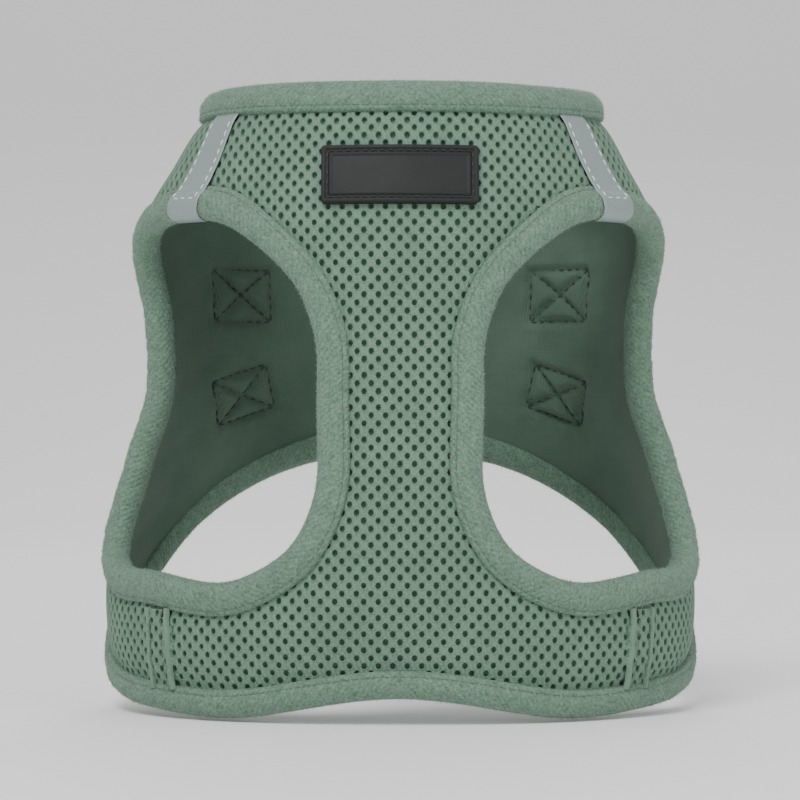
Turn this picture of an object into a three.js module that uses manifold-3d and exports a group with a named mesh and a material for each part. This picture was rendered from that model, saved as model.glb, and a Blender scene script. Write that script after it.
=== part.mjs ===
// Small-pet step-in harness vest: padded mesh body, bound edges, two back wings, buckle and leash rings.
// Millimetres, +Z up towards the neck, chest facing -Y. The origin is the centre of the body space at the hem.
import * as THREE from 'three';
import { mergeVertices } from 'three/addons/utils/BufferGeometryUtils.js';
import Module from 'manifold-3d';

const wasm = await Module();
wasm.setup();

// ---- driving dimensions ----------------------------------------------------------------------------------
const BODY_HEIGHT = 183;
const BACK_LENGTH = 108.5;
const NECK_HALF_WIDTH = 56;
const NECK_HALF_DEPTH = 46;
const SHOULDER_HALF_WIDTH = 77.5;
const SHOULDER_HALF_DEPTH = 57;
const SHOULDER_DROP = 41;
const WAIST_HALF_WIDTH = 75;
const WAIST_HALF_DEPTH = 60;
const WAIST_DROP = 80;
const GIRTH_HALF_WIDTH = 87.5;
const GIRTH_HALF_DEPTH = 64;
const GIRTH_HEIGHT = 46;
const HEM_TUCK = 3.5;

const MESH_THICKNESS = 3;
const LINING_THICKNESS = 1.3;
const TOUCH_GAP = 0.3;

const ARMHOLE_BOTTOM = 39;
const ARMHOLE_TOP_DROP = 39;
const HEM_CENTRE_RISE = 6.4;
const HEM_SIDE_HEIGHT = 3.5;

const TAPE_THICKNESS = 0.9;
const TAPE_LEG = 7.6;
const HEM_TAPE_LEG = 6.2;
const TAPE_GAP = 0.8;
const TAPE_FOLD = 0.8;

const FOLD_ANGLE_AT_BAND = 59;
const FOLD_ANGLE_AT_NECK = 66.5;
const WING_GAP_AT_BAND = 2.5;
const WING_GAP_AT_SHOULDER = 7.5;
const WING_GAP_AT_NECK = 3;
const BACK_SPLIT_GAP = 3;

const STRIP_WIDTH = 12;
const STRIP_THICKNESS = 0.5;
const STRIP_ANGLE_TOP = 56.8;
const STRIP_ANGLE_BOTTOM = 55.6;
const LAP_STRIP_WIDTH = 7.5;
const LAP_STRIP_THICKNESS = 1.4;
const LAP_STRIP_ANGLE = 52.5;

const PATCH_WIDTH = 45;
const PATCH_HEIGHT = 17.5;
const PATCH_THICKNESS = 1.6;
const PATCH_DROP = 28;
const PATCH_RIM = 2.6;
const PATCH_FIELD_DEPTH = 0.5;

const CLOSURE_TAPE_THICKNESS = 0.9;
const CLOSURE_TAPE_WIDTH = 13;
const FLAP_THICKNESS = 1.2;
const FLAP_HEIGHT = 76;
const FLAP_TOP_DROP = 16;
const FLAP_SEWN_WIDTH = 15;

const BUCKLE_WEBBING_WIDTH = 20;
const RING_WEBBING_WIDTH = 16;
const WEBBING_THICKNESS = 1.2;
const ANCHOR_LENGTH = 22;
const ANCHOR_ARC_FROM_BACK = 55;
const BUCKLE_DROP = 59;
const RING_ANCHOR_DROP = 90;
const RING_STRAP_SLOPE = 15;
const WEBBING_LIFT = 1.0;

const HARDWARE_LIFT = 1;
const RING_STOCK = 3;
const RING_DEPTH = 15;
const RING_CLEARANCE = 0.3;
const RING_BAR_REACH = 19;
const RING_REST_TILT = 13;

const BUCKLE_WIDTH = 26;
const BUCKLE_THICKNESS = 8;
const HOUSING_LENGTH = 24;
const HOUSING_WALL = 1.5;
const HOUSING_ARC_FROM_BACK = 16;
const PLUG_ARC_FROM_BACK = 25;
const PLUG_LENGTH = 13;
const BUCKLE_BAR = 2.6;
const BUCKLE_CORNER = 3;
const SLOT_SIDE_CLEARANCE = 0.9;
const TONGUE_LENGTH = 12;
const TONGUE_WIDTH = 5;
const PRONG_LENGTH = 15;
const PRONG_WIDTH = 3.4;
const PRONG_HEAD = 1.6;
const PRONG_THICKNESS = 3.6;
const KEEPER_WIDTH = 5;
const KEEPER_THICKNESS = 0.8;
const KEEPER_CLEARANCE = 1;

// ---- body form -------------------------------------------------------------------------------------------
// Half width and half depth of the outer mesh face at rising heights.
const SHOULDER_HEIGHT = BODY_HEIGHT - SHOULDER_DROP;
const WAIST_HEIGHT = BODY_HEIGHT - WAIST_DROP;
const neckSlope = (SHOULDER_HEIGHT + BODY_HEIGHT) / 2;
const STATIONS = [
  [0, GIRTH_HALF_WIDTH - HEM_TUCK, GIRTH_HALF_DEPTH - HEM_TUCK],
  [GIRTH_HEIGHT * 0.4, GIRTH_HALF_WIDTH, GIRTH_HALF_DEPTH - 1],
  [GIRTH_HEIGHT, GIRTH_HALF_WIDTH, GIRTH_HALF_DEPTH],
  [(GIRTH_HEIGHT + WAIST_HEIGHT) / 2, (GIRTH_HALF_WIDTH + WAIST_HALF_WIDTH) / 2, (GIRTH_HALF_DEPTH + WAIST_HALF_DEPTH) / 2],
  [WAIST_HEIGHT - 10, WAIST_HALF_WIDTH + 0.5, WAIST_HALF_DEPTH + 1],
  [WAIST_HEIGHT + 12, WAIST_HALF_WIDTH, WAIST_HALF_DEPTH - 1],
  [SHOULDER_HEIGHT, SHOULDER_HALF_WIDTH, SHOULDER_HALF_DEPTH],
  [neckSlope, (NECK_HALF_WIDTH + SHOULDER_HALF_WIDTH) / 2, (NECK_HALF_DEPTH + SHOULDER_HALF_DEPTH) / 2],
  [BODY_HEIGHT, NECK_HALF_WIDTH, NECK_HALF_DEPTH],
];

const radians = THREE.MathUtils.degToRad;
const lerp = THREE.MathUtils.lerp;

// Smooth curve through [position, ...values] rows, straight beyond the ends.
function through(rows, position, column) {
  let k = 0;
  while (k < rows.length - 2 && position > rows[k + 1][0]) k += 1;
  const slopeAt = (i) => {
    const before = rows[Math.max(i - 1, 0)];
    const after = rows[Math.min(i + 1, rows.length - 1)];
    return (after[column] - before[column]) / (after[0] - before[0]);
  };
  const [low, high] = [rows[k], rows[k + 1]];
  const span = high[0] - low[0];
  const s = (position - low[0]) / span;
  if (s < 0) return low[column] + slopeAt(k) * (position - low[0]);
  if (s > 1) return high[column] + slopeAt(k + 1) * (position - high[0]);
  const rise = high[column] - low[column];
  const c = 3 * rise - (2 * slopeAt(k) + slopeAt(k + 1)) * span;
  const d = -2 * rise + (slopeAt(k) + slopeAt(k + 1)) * span;
  return low[column] + s * (slopeAt(k) * span + s * (c + s * d));
}

const halfWidth = (z) => through(STATIONS, z, 1);
const halfDepth = (z) => through(STATIONS, z, 2);

// A point of the body form: angle in degrees from the chest towards +X, height, and distance outside the face.
function onForm(angle, z, lift = 0) {
  const a = halfWidth(z);
  const b = halfDepth(z);
  const t = radians(angle);
  const step = 0.01;
  const aSlope = (halfWidth(z + step) - halfWidth(z - step)) / (2 * step);
  const bSlope = (halfDepth(z + step) - halfDepth(z - step)) / (2 * step);
  const around = new THREE.Vector3(a * Math.cos(t), b * Math.sin(t), 0);
  const up = new THREE.Vector3(aSlope * Math.sin(t), -bSlope * Math.cos(t), 1);
  const normal = around.clone().cross(up).normalize();
  const point = new THREE.Vector3(a * Math.sin(t), -b * Math.cos(t), z);
  return { point: point.addScaledVector(normal, lift), around, up, normal };
}

// Moves a form position by millimetres along the face: first around the body, then up it.
function along(angle, z, aroundMm, upMm) {
  const { around, up } = onForm(angle, z);
  return [angle + THREE.MathUtils.radToDeg(aroundMm / around.length()), z + upMm / up.length()];
}

// The angle whose distance from the centre of the back, around the body at this height, is the given arc.
function angleFromBack(arc, z) {
  let angle = 180;
  const steps = 24;
  for (let k = 0; k < steps; k += 1) [angle] = along(angle, z, -arc / steps, 0);
  return angle;
}

const foldAngle = (z) => lerp(FOLD_ANGLE_AT_BAND, FOLD_ANGLE_AT_NECK, z / BODY_HEIGHT);
const armholeTop = BODY_HEIGHT - ARMHOLE_TOP_DROP;
const wingGap = (z) => through([
  [0, WING_GAP_AT_BAND],
  [ARMHOLE_BOTTOM, WING_GAP_AT_BAND],
  [armholeTop, WING_GAP_AT_SHOULDER],
  [BODY_HEIGHT, WING_GAP_AT_NECK],
], z, 1);
const wingStart = (z) => along(foldAngle(z), z, wingGap(z), 0)[0];

// ---- outlines --------------------------------------------------------------------------------------------
// Armhole: free edge, as angle and share of the armhole's height.
const ARMHOLE = [
  [18.6, 0.5], [19.6, 0.68], [25.6, 0.84], [41.9, 0.98], [61.3, 1], [78, 0.95], [88.5, 0.82], [92, 0.63],
  [92, 0.44], [90, 0.25], [83, 0.1], [70, 0.035], [55.9, 0.025], [36.2, 0], [28.5, 0.03], [21.3, 0.1], [17, 0.25],
];
const armholeCurve = new THREE.CatmullRomCurve3(
  ARMHOLE.map(([angle, share]) => new THREE.Vector3(angle, lerp(ARMHOLE_BOTTOM, armholeTop, share), 0)),
  true,
  'centripetal',
);

const ARMHOLE_STEPS = 48;

// Hem: free edge height at an angle, low across the belly and high across the back.
const backHem = BODY_HEIGHT - BACK_LENGTH;
const backRise = (share) => lerp(HEM_SIDE_HEIGHT, backHem, share);
const HEM = [
  [-34, 0], [0, HEM_CENTRE_RISE], [34, 0], [58, 1.2], [75, HEM_SIDE_HEIGHT], [92, backRise(0.085)],
  [118, backRise(0.47)], [131, backRise(0.69)], [146, backRise(0.863)], [161, backRise(0.962)], [180, backHem],
  [199, backRise(0.962)],
];
const hemHeight = (angle) => through(HEM, Math.abs(angle), 1);

// Height of the panel's cut edge: the fold of the tape lies square to the hem's slope.
function hemCut(angle, setback) {
  const z = hemHeight(angle);
  const run = radians(1) * onForm(angle, z).around.length();
  return z + setback * Math.hypot(1, (hemHeight(angle + 0.5) - hemHeight(angle - 0.5)) / run);
}

const panelThickness = MESH_THICKNESS + TOUCH_GAP + LINING_THICKNESS;
const foldOut = TAPE_FOLD + TOUCH_GAP + TAPE_THICKNESS;
const backEdge = (z) => angleFromBack(BACK_SPLIT_GAP / 2, z);

// Each edge station is a form position with the in-face direction from the free edge into the panel.
function edgeStations(positions, closed, side) {
  const count = positions.length;
  return positions.map(([angle, z], i) => {
    const before = positions[closed ? (i + count - 1) % count : Math.max(i - 1, 0)];
    const after = positions[closed ? (i + 1) % count : Math.min(i + 1, count - 1)];
    const { around, up } = onForm(angle, z);
    const run = new THREE.Vector2(
      radians(after[0] - before[0]) * around.length(),
      (after[1] - before[1]) * up.length(),
    ).normalize();
    return { angle, z, into: [-run.y * side, run.x * side] };
  });
}

const inside = (station, distance) => along(
  station.angle, station.z, station.into[0] * distance, station.into[1] * distance,
);

// ---- solids ----------------------------------------------------------------------------------------------
function closedGeometry(points, triangles) {
  const geometry = new THREE.BufferGeometry();
  let volume = 0;
  triangles.forEach(([i, j, k]) => {
    volume += points[i].dot(points[j].clone().cross(points[k]));
  });
  geometry.setAttribute('position', new THREE.Float32BufferAttribute(points.flatMap((p) => p.toArray()), 3));
  geometry.setIndex(triangles.flatMap(([i, j, k]) => (volume > 0 ? [i, j, k] : [i, k, j])));
  return geometry;
}

// A sheet of the form between two lifts. Columns and rows are shares; place(u, v) gives angle and height.
function formSheet(columns, rows, place, inner, outer) {
  const across = columns.length;
  const points = [];
  [outer, inner].forEach((lift) => {
    rows.forEach((v) => columns.forEach((u) => {
      const [angle, z] = place(u, v);
      points.push(onForm(angle, z, typeof lift === 'number' ? lift : lift(u, v)).point);
    }));
  });
  const layer = across * rows.length;
  const triangles = [];
  const quad = (a, b, c, d) => triangles.push([a, b, c], [a, c, d]);
  for (let j = 0; j < rows.length - 1; j += 1) {
    for (let i = 0; i < across - 1; i += 1) {
      const k = j * across + i;
      quad(k, k + 1, k + 1 + across, k + across);
      quad(layer + k, layer + k + across, layer + k + across + 1, layer + k + 1);
    }
  }
  for (let i = 0; i < across - 1; i += 1) {
    const top = (rows.length - 1) * across + i;
    quad(i, layer + i, layer + i + 1, i + 1);
    quad(top, top + 1, layer + top + 1, layer + top);
  }
  for (let j = 0; j < rows.length - 1; j += 1) {
    const left = j * across;
    const right = left + across - 1;
    quad(left, left + across, layer + left + across, layer + left);
    quad(right, layer + right, layer + right + across, right + across);
  }
  return closedGeometry(points, triangles);
}

const shares = (count) => Array.from({ length: count + 1 }, (_, k) => k / count);

// A folded edge tape: its section of [distance into the panel, lift] corners follows the edge stations.
function edgeTape(stations, section, closed) {
  const points = [];
  stations.forEach((station) => section.forEach(([distance, lift]) => {
    const [angle, z] = inside(station, distance);
    points.push(onForm(angle, z, lift).point);
  }));
  const corners = section.length;
  const spans = closed ? stations.length : stations.length - 1;
  const triangles = [];
  for (let i = 0; i < spans; i += 1) {
    const next = (i + 1) % stations.length;
    for (let c = 0; c < corners; c += 1) {
      const d = (c + 1) % corners;
      triangles.push([i * corners + c, i * corners + d, next * corners + d]);
      triangles.push([i * corners + c, next * corners + d, next * corners + c]);
    }
  }
  if (!closed) {
    const faces = THREE.ShapeUtils.triangulateShape(section.map(([x, y]) => new THREE.Vector2(x, y)), []);
    const last = (stations.length - 1) * corners;
    faces.forEach(([a, b, c]) => {
      triangles.push([a, c, b], [last + a, last + b, last + c]);
    });
  }
  return orientFirst(points, triangles);
}

// Turns all faces the same way as their first shared edge asks, so that caps and walls agree.
function orientFirst(points, triangles) {
  const edges = new Map();
  triangles.forEach((face, f) => face.forEach((a, c) => {
    const b = face[(c + 1) % 3];
    const key = a < b ? `${a}_${b}` : `${b}_${a}`;
    if (!edges.has(key)) edges.set(key, []);
    edges.get(key).push([f, a < b]);
  }));
  const flipped = new Array(triangles.length).fill(null);
  flipped[0] = false;
  const queue = [0];
  while (queue.length) {
    const f = queue.pop();
    triangles[f].forEach((a, c) => {
      const b = triangles[f][(c + 1) % 3];
      const key = a < b ? `${a}_${b}` : `${b}_${a}`;
      const pair = edges.get(key);
      const mine = pair.find(([g]) => g === f);
      const other = pair.find(([g]) => g !== f);
      if (other && flipped[other[0]] === null) {
        flipped[other[0]] = mine[1] === other[1] ? !flipped[f] : flipped[f];
        queue.push(other[0]);
      }
    });
  }
  return closedGeometry(points, triangles.map(([a, b, c], f) => (flipped[f] ? [a, c, b] : [a, b, c])));
}

function toManifold(source) {
  const plain = source.clone();
  plain.deleteAttribute('normal');
  plain.deleteAttribute('uv');
  const geometry = mergeVertices(plain, 1e-4);
  return new wasm.Manifold(new wasm.Mesh({
    numProp: 3,
    vertProperties: new Float32Array(geometry.attributes.position.array),
    triVerts: new Uint32Array(geometry.index.array),
  }));
}

function fromManifold(solid) {
  const mesh = solid.getMesh();
  const geometry = new THREE.BufferGeometry();
  geometry.setAttribute('position', new THREE.BufferAttribute(new Float32Array(mesh.vertProperties), 3));
  geometry.setIndex(new THREE.BufferAttribute(new Uint32Array(mesh.triVerts), 1));
  return geometry;
}

function mirrored(geometry) {
  const copy = geometry.clone();
  copy.scale(-1, 1, 1);
  const index = copy.index.array;
  for (let k = 0; k < index.length; k += 3) [index[k], index[k + 1]] = [index[k + 1], index[k]];
  return copy;
}

// Cuts along the armhole with walls square to the face; it grows by the setback of the panel's cut edge.
function armholeCutter(setback) {
  const outline = edgeStations(armholeCurve.getSpacedPoints(ARMHOLE_STEPS).slice(0, ARMHOLE_STEPS).map((p) => [p.x, p.y]), true, 1)
    .map((station) => inside(station, setback));
  const centre = [55, lerp(ARMHOLE_BOTTOM, armholeTop, 0.5)];
  const rings = 3;
  const points = [];
  const triangles = [];
  [6, -(panelThickness + 4)].forEach((lift) => {
    for (let r = rings; r > 0; r -= 1) {
      outline.forEach(([angle, z]) => {
        points.push(onForm(lerp(centre[0], angle, r / rings), lerp(centre[1], z, r / rings), lift).point);
      });
    }
    points.push(onForm(...centre, lift).point);
  });
  const n = outline.length;
  const layer = n * rings + 1;
  for (let i = 0; i < n; i += 1) {
    const j = (i + 1) % n;
    triangles.push([i, j, layer + j], [i, layer + j, layer + i]);
    [0, layer].forEach((base) => {
      for (let r = 0; r < rings - 1; r += 1) {
        const [a, b] = [base + r * n, base + (r + 1) * n];
        triangles.push([a + i, a + j, b + j], [a + i, b + j, b + i]);
      }
      triangles.push([base + (rings - 1) * n + i, base + (rings - 1) * n + j, base + rings * n]);
    });
  }
  return orientFirst(points, triangles);
}

const meshHeights = [0, 15, 32, 46, 58, 70, 83, 98, 113, 127, 138, 147, 158, 170, BODY_HEIGHT - foldOut]
  .map((z, k, all) => (k === all.length - 1 ? z : z * (BODY_HEIGHT / 183)));
const rowShares = meshHeights.map((z) => z / meshHeights.at(-1));
const heightAt = (v) => v * meshHeights.at(-1);

// One layer of a body panel, cut along the hem and the armholes it meets.
function panelLayer(columns, place, outer, inner, cutters) {
  let solid = toManifold(formSheet(shares(columns), rowShares, place, inner, outer));
  const belowHem = (u, v) => {
    const angle = lerp(place(0, 0.3)[0] - 6, place(1, 0.3)[0] + 6, u);
    return [angle, lerp(-12, hemCut(angle, foldOut), v)];
  };
  solid = solid.subtract(toManifold(formSheet(shares(24), shares(5), belowHem, -(panelThickness + 3), 4)));
  cutters.forEach((cutter) => {
    solid = solid.subtract(toManifold(cutter));
  });
  return fromManifold(solid);
}

const group = new THREE.Group();
const finish = (color, roughness, metalness = 0) => new THREE.MeshStandardMaterial({ color, roughness, metalness });
const FINISH = {
  mesh: finish(0x7f9885, 0.9),
  lining: finish(0x5b6e61, 0.9),
  binding: finish(0x7d9786, 0.95),
  reflective: finish(0xaab4b3, 0.35),
  rubber: finish(0x414345, 0.6),
  webbing: finish(0x6f8a78, 0.85),
  metal: finish(0xb9babb, 0.3, 1),
  plastic: finish(0x3a3c3d, 0.5),
  tape: finish(0x56655b, 1),
};

function add(name, geometry, material, parent = group) {
  const mesh = new THREE.Mesh(geometry, material);
  mesh.name = name;
  parent.add(mesh);
  return mesh;
}

// ---- chest panel: mesh outside, knit lining inside ---------------------------------------------------------
const rightHole = armholeCutter(foldOut);
const bothHoles = [rightHole, mirrored(rightHole)];
const chestPlace = (u, v) => {
  const z = heightAt(v);
  return [lerp(-foldAngle(z), foldAngle(z), u), z];
};
const liningTop = -(MESH_THICKNESS + TOUCH_GAP);
add('chest_mesh', panelLayer(14, chestPlace, 0, -MESH_THICKNESS, bothHoles), FINISH.mesh);
add('chest_lining', panelLayer(14, chestPlace, liningTop, -panelThickness, bothHoles), FINISH.lining);

// ---- back wings --------------------------------------------------------------------------------------------
const wingPlace = (u, v) => {
  const z = heightAt(v);
  const end = angleFromBack(BACK_SPLIT_GAP / 2 + foldOut, z);
  return [lerp(wingStart(z), end, u), z];
};
const wingMesh = panelLayer(13, wingPlace, 0, -MESH_THICKNESS, [rightHole]);
const wingLining = panelLayer(13, wingPlace, liningTop, -panelThickness, [rightHole]);
add('left_wing_mesh', mirrored(wingMesh), FINISH.mesh);
add('right_wing_mesh', wingMesh, FINISH.mesh);
add('left_wing_lining', mirrored(wingLining), FINISH.lining);
add('right_wing_lining', wingLining, FINISH.lining);

// ---- folded edge tapes -------------------------------------------------------------------------------------
const tapeSection = (leg) => {
  const [top, low] = [TAPE_GAP + TAPE_THICKNESS, -(panelThickness + TAPE_GAP)];
  const reach = leg + foldOut;
  return [
    [0, top], [reach, top], [reach, TAPE_GAP], [foldOut - TOUCH_GAP, TAPE_GAP],
    [foldOut - TOUCH_GAP, low], [reach, low], [reach, low - TAPE_THICKNESS], [0, low - TAPE_THICKNESS],
  ];
};
const span = (from, to, count) => shares(count).map((u) => lerp(from, to, u));
const neckRun = (from, to, count) => edgeStations(span(from, to, count).map((t) => [t, BODY_HEIGHT]), false, -1);
const hemRun = (from, to, count) => edgeStations(span(from, to, count).map((t) => [t, hemHeight(t)]), false, 1);
const foldAtNeck = foldAngle(BODY_HEIGHT);
const wingAtNeck = wingStart(BODY_HEIGHT - TAPE_LEG);
const sideAtHem = wingStart(HEM_SIDE_HEIGHT);
add('neck_binding_front', edgeTape(neckRun(-foldAtNeck, foldAtNeck, 20), tapeSection(TAPE_LEG)), FINISH.binding);
const neckWing = edgeTape(neckRun(wingAtNeck, backEdge(BODY_HEIGHT), 16), tapeSection(TAPE_LEG));
add('neck_binding_right', neckWing, FINISH.binding);
add('neck_binding_left', mirrored(neckWing), FINISH.binding);
add('hem_binding_front', edgeTape(hemRun(-FOLD_ANGLE_AT_BAND, FOLD_ANGLE_AT_BAND, 24), tapeSection(HEM_TAPE_LEG)),
  FINISH.binding);
const hemWing = edgeTape(hemRun(sideAtHem, backEdge(backHem), 20), tapeSection(HEM_TAPE_LEG));
add('hem_binding_right', hemWing, FINISH.binding);
add('hem_binding_left', mirrored(hemWing), FINISH.binding);

// The armhole tape changes bodies at the fold line: its stations are shared out by their angle.
const armholeStations = edgeStations(
  armholeCurve.getSpacedPoints(ARMHOLE_STEPS).slice(0, ARMHOLE_STEPS).map((p) => [p.x, p.y]), true, 1,
);
const reachOf = (station) => inside(station, TAPE_LEG + foldOut);
const onChest = (station) => Math.max(station.angle, reachOf(station)[0]) < foldAngle(station.z);
const onWing = (station) => Math.min(station.angle, reachOf(station)[0]) > wingStart(station.z);
function unbroken(stations, test) {
  const count = stations.length;
  const first = stations.findIndex((s, i) => test(s) && !test(stations[(i + count - 1) % count]));
  const run = [];
  for (let k = 0; k < count && test(stations[(first + k) % count]); k += 1) run.push(stations[(first + k) % count]);
  return run;
}
const armholeFront = edgeTape(unbroken(armholeStations, onChest), tapeSection(TAPE_LEG));
const armholeRear = edgeTape(unbroken(armholeStations, onWing), tapeSection(TAPE_LEG));
add('armhole_binding_right_front', armholeFront, FINISH.binding);
add('armhole_binding_left_front', mirrored(armholeFront), FINISH.binding);
add('armhole_binding_right_rear', armholeRear, FINISH.binding);
add('armhole_binding_left_rear', mirrored(armholeRear), FINISH.binding);

const seamTop = BODY_HEIGHT - foldOut - TAPE_LEG - TOUCH_GAP;
const seamBottom = backHem + foldOut + HEM_TAPE_LEG + TOUCH_GAP + 1;
const backRun = edgeStations(span(seamBottom, seamTop, 12).map((z) => [backEdge(z), z]), false, 1);
const backTape = edgeTape(backRun, tapeSection(TAPE_LEG));
add('back_edge_binding_right', backTape, FINISH.binding);
add('back_edge_binding_left', mirrored(backTape), FINISH.binding);

// ---- chest trims: reflective strips, lap seams and rubber patch -------------------------------------------
const tapeTop = TAPE_GAP + TAPE_THICKNESS;
const stripEnd = armholeTop - 1;
const stripPlace = (u, v) => {
  const z = lerp(stripEnd, seamTop, v);
  const middle = lerp(STRIP_ANGLE_BOTTOM, STRIP_ANGLE_TOP, v);
  return along(middle, z, (u - 0.5) * STRIP_WIDTH, 0);
};
const stripBase = (u, v) => {
  const z = stripPlace(u, v)[1];
  return z < armholeTop + foldOut + TAPE_LEG + 1 ? tapeTop + TOUCH_GAP : TAPE_GAP;
};
const strip = formSheet(shares(3), shares(9), stripPlace, stripBase, (u, v) => stripBase(u, v) + STRIP_THICKNESS);
add('reflective_strip_right', strip, FINISH.reflective);
add('reflective_strip_left', mirrored(strip), FINISH.reflective);

const lapBottom = hemHeight(LAP_STRIP_ANGLE) + foldOut + HEM_TAPE_LEG + 1;
const lapTop = ARMHOLE_BOTTOM - TAPE_LEG - foldOut - 0.5;
const lapPlace = (u, v) => along(LAP_STRIP_ANGLE, lerp(lapBottom, lapTop, v), (u - 0.5) * LAP_STRIP_WIDTH, 0);
const lap = formSheet(shares(2), shares(3), lapPlace, TAPE_GAP, TAPE_GAP + LAP_STRIP_THICKNESS);
add('lap_seam_strip_right', lap, FINISH.mesh);
add('lap_seam_strip_left', mirrored(lap), FINISH.mesh);

const patchHeight = BODY_HEIGHT - PATCH_DROP;
const patchPlace = (width, height) => (u, v) => along(0, patchHeight + (v - 0.5) * height, (u - 0.5) * width, 0);
const patchColumns = [0, 0.14, 0.26, 0.38, 0.62, 0.74, 0.86, 1];
const patchTop = TAPE_GAP + PATCH_THICKNESS;
const fieldCut = formSheet(
  patchColumns, [0, 1], patchPlace(PATCH_WIDTH - 2 * PATCH_RIM, PATCH_HEIGHT - 2 * PATCH_RIM),
  patchTop - PATCH_FIELD_DEPTH, patchTop + 2,
);
const patchBody = formSheet(patchColumns, [0, 1], patchPlace(PATCH_WIDTH, PATCH_HEIGHT), TAPE_GAP, patchTop);
add('rubber_patch', fromManifold(toManifold(patchBody).subtract(toManifold(fieldCut))), FINISH.rubber);

// ---- back closure: hook and loop under a flap ---------------------------------------------------------------
const flapTop = BODY_HEIGHT - FLAP_TOP_DROP;
const flapBottom = flapTop - FLAP_HEIGHT;
const tapeFrom = foldOut + TAPE_LEG + BACK_SPLIT_GAP / 2 + 0.8;
const tapeTo = tapeFrom + CLOSURE_TAPE_WIDTH;
const closurePlace = (near, far, margin) => (u, v) => {
  const z = lerp(flapBottom + margin, flapTop - margin, v);
  return [angleFromBack(lerp(far, near, u), z), z];
};
const loopTop = TAPE_GAP + CLOSURE_TAPE_THICKNESS;
const loop = formSheet(shares(2), shares(6), closurePlace(tapeFrom, tapeTo, 1), TAPE_GAP, loopTop);
add('loop_tape', mirrored(loop), FINISH.tape);
const hookTop = loopTop + TAPE_GAP + CLOSURE_TAPE_THICKNESS;
const hook = formSheet(shares(2), shares(6), closurePlace(tapeFrom, tapeTo, 1), loopTop + TAPE_GAP, hookTop);
add('hook_tape', mirrored(hook), FINISH.tape);
const flapBase = hookTop + TOUCH_GAP;
const flapPlace = (u, v) => {
  const z = lerp(flapBottom, flapTop, v);
  const arc = lerp(tapeTo + 1, -FLAP_SEWN_WIDTH, u);
  return [arc > 0 ? angleFromBack(arc, z) : 360 - angleFromBack(-arc, z), z];
};
const flap = formSheet(shares(6), shares(6), flapPlace, flapBase, flapBase + FLAP_THICKNESS);
add('closure_flap', mirrored(flap), FINISH.binding);

// ---- buckle and ring hardware -------------------------------------------------------------------------------
// A place on the back: x runs around towards the centre of the back, z stands off the face. Level ones are upright.
function backFrame(arc, height, lift, slope) {
  const angle = angleFromBack(arc, height);
  const { point, around, up, normal } = onForm(angle, height, lift);
  const x = around.normalize().multiplyScalar(Math.cos(radians(slope)))
    .addScaledVector(up.normalize(), Math.sin(radians(slope)));
  if (slope === 0) normal.setZ(0).normalize();
  const y = normal.clone().cross(x);
  return new THREE.Matrix4().makeBasis(x.normalize(), y.normalize(), normal).setPosition(point);
}

// The same place on the other wing, turned so that the frame stays right-handed.
function leftFrame(matrix) {
  const e = matrix.elements;
  const x = new THREE.Vector3(-e[0], e[1], e[2]);
  const y = new THREE.Vector3(e[4], -e[5], -e[6]);
  const z = new THREE.Vector3(-e[8], e[9], e[10]);
  return new THREE.Matrix4().makeBasis(x, y, z).setPosition(-e[12], e[13], e[14]);
}

function placed(matrix) {
  const holder = new THREE.Group();
  matrix.decompose(holder.position, holder.quaternion, holder.scale);
  group.add(holder);
  return holder;
}

// An outline in the frame's x and z, drawn through the frame's width.
function webbingSolid(path, width) {
  const half = WEBBING_THICKNESS / 2;
  const side = (sign) => path.map((p, i) => {
    const run = path[Math.min(i + 1, path.length - 1)].clone().sub(path[Math.max(i - 1, 0)]).normalize();
    return new THREE.Vector2(p.x - sign * run.y * half, p.y + sign * run.x * half);
  });
  const shape = new THREE.Shape([...side(1), ...side(-1).reverse()]);
  const geometry = new THREE.ExtrudeGeometry(shape, { depth: width, bevelEnabled: false });
  geometry.rotateX(Math.PI / 2);
  geometry.translate(0, width / 2, 0);
  return geometry;
}

// Webbing sewn down at the anchor, taken round a bar and sewn back on itself.
function strapPath(frame, slope, arc, height, bar, barRadius) {
  const inverse = frame.clone().invert();
  const under = shares(6).map((u) => {
    const move = (u - 0.5) * ANCHOR_LENGTH;
    const [angle, z] = along(angleFromBack(arc, height), height,
      move * Math.cos(radians(slope)), move * Math.sin(radians(slope)));
    const p = onForm(angle, z, WEBBING_LIFT + WEBBING_THICKNESS / 2).point.applyMatrix4(inverse);
    return new THREE.Vector2(p.x, p.z);
  });
  const radius = barRadius + TOUCH_GAP + WEBBING_THICKNESS / 2;
  const over = under.map((p) => new THREE.Vector2(p.x, p.y + WEBBING_THICKNESS + TOUCH_GAP)).reverse();
  const tangent = (p, side) => {
    const way = p.clone().sub(bar);
    return Math.atan2(way.y, way.x) + side * Math.acos(radius / way.length());
  };
  const first = tangent(under.at(-1), 1);
  const last = tangent(over[0], -1) + 2 * Math.PI;
  const turn = shares(7).map((u) => new THREE.Vector2(
    bar.x + radius * Math.cos(lerp(first, last, u)), bar.y + radius * Math.sin(lerp(first, last, u)),
  ));
  return [...under, ...turn, ...over];
}

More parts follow.
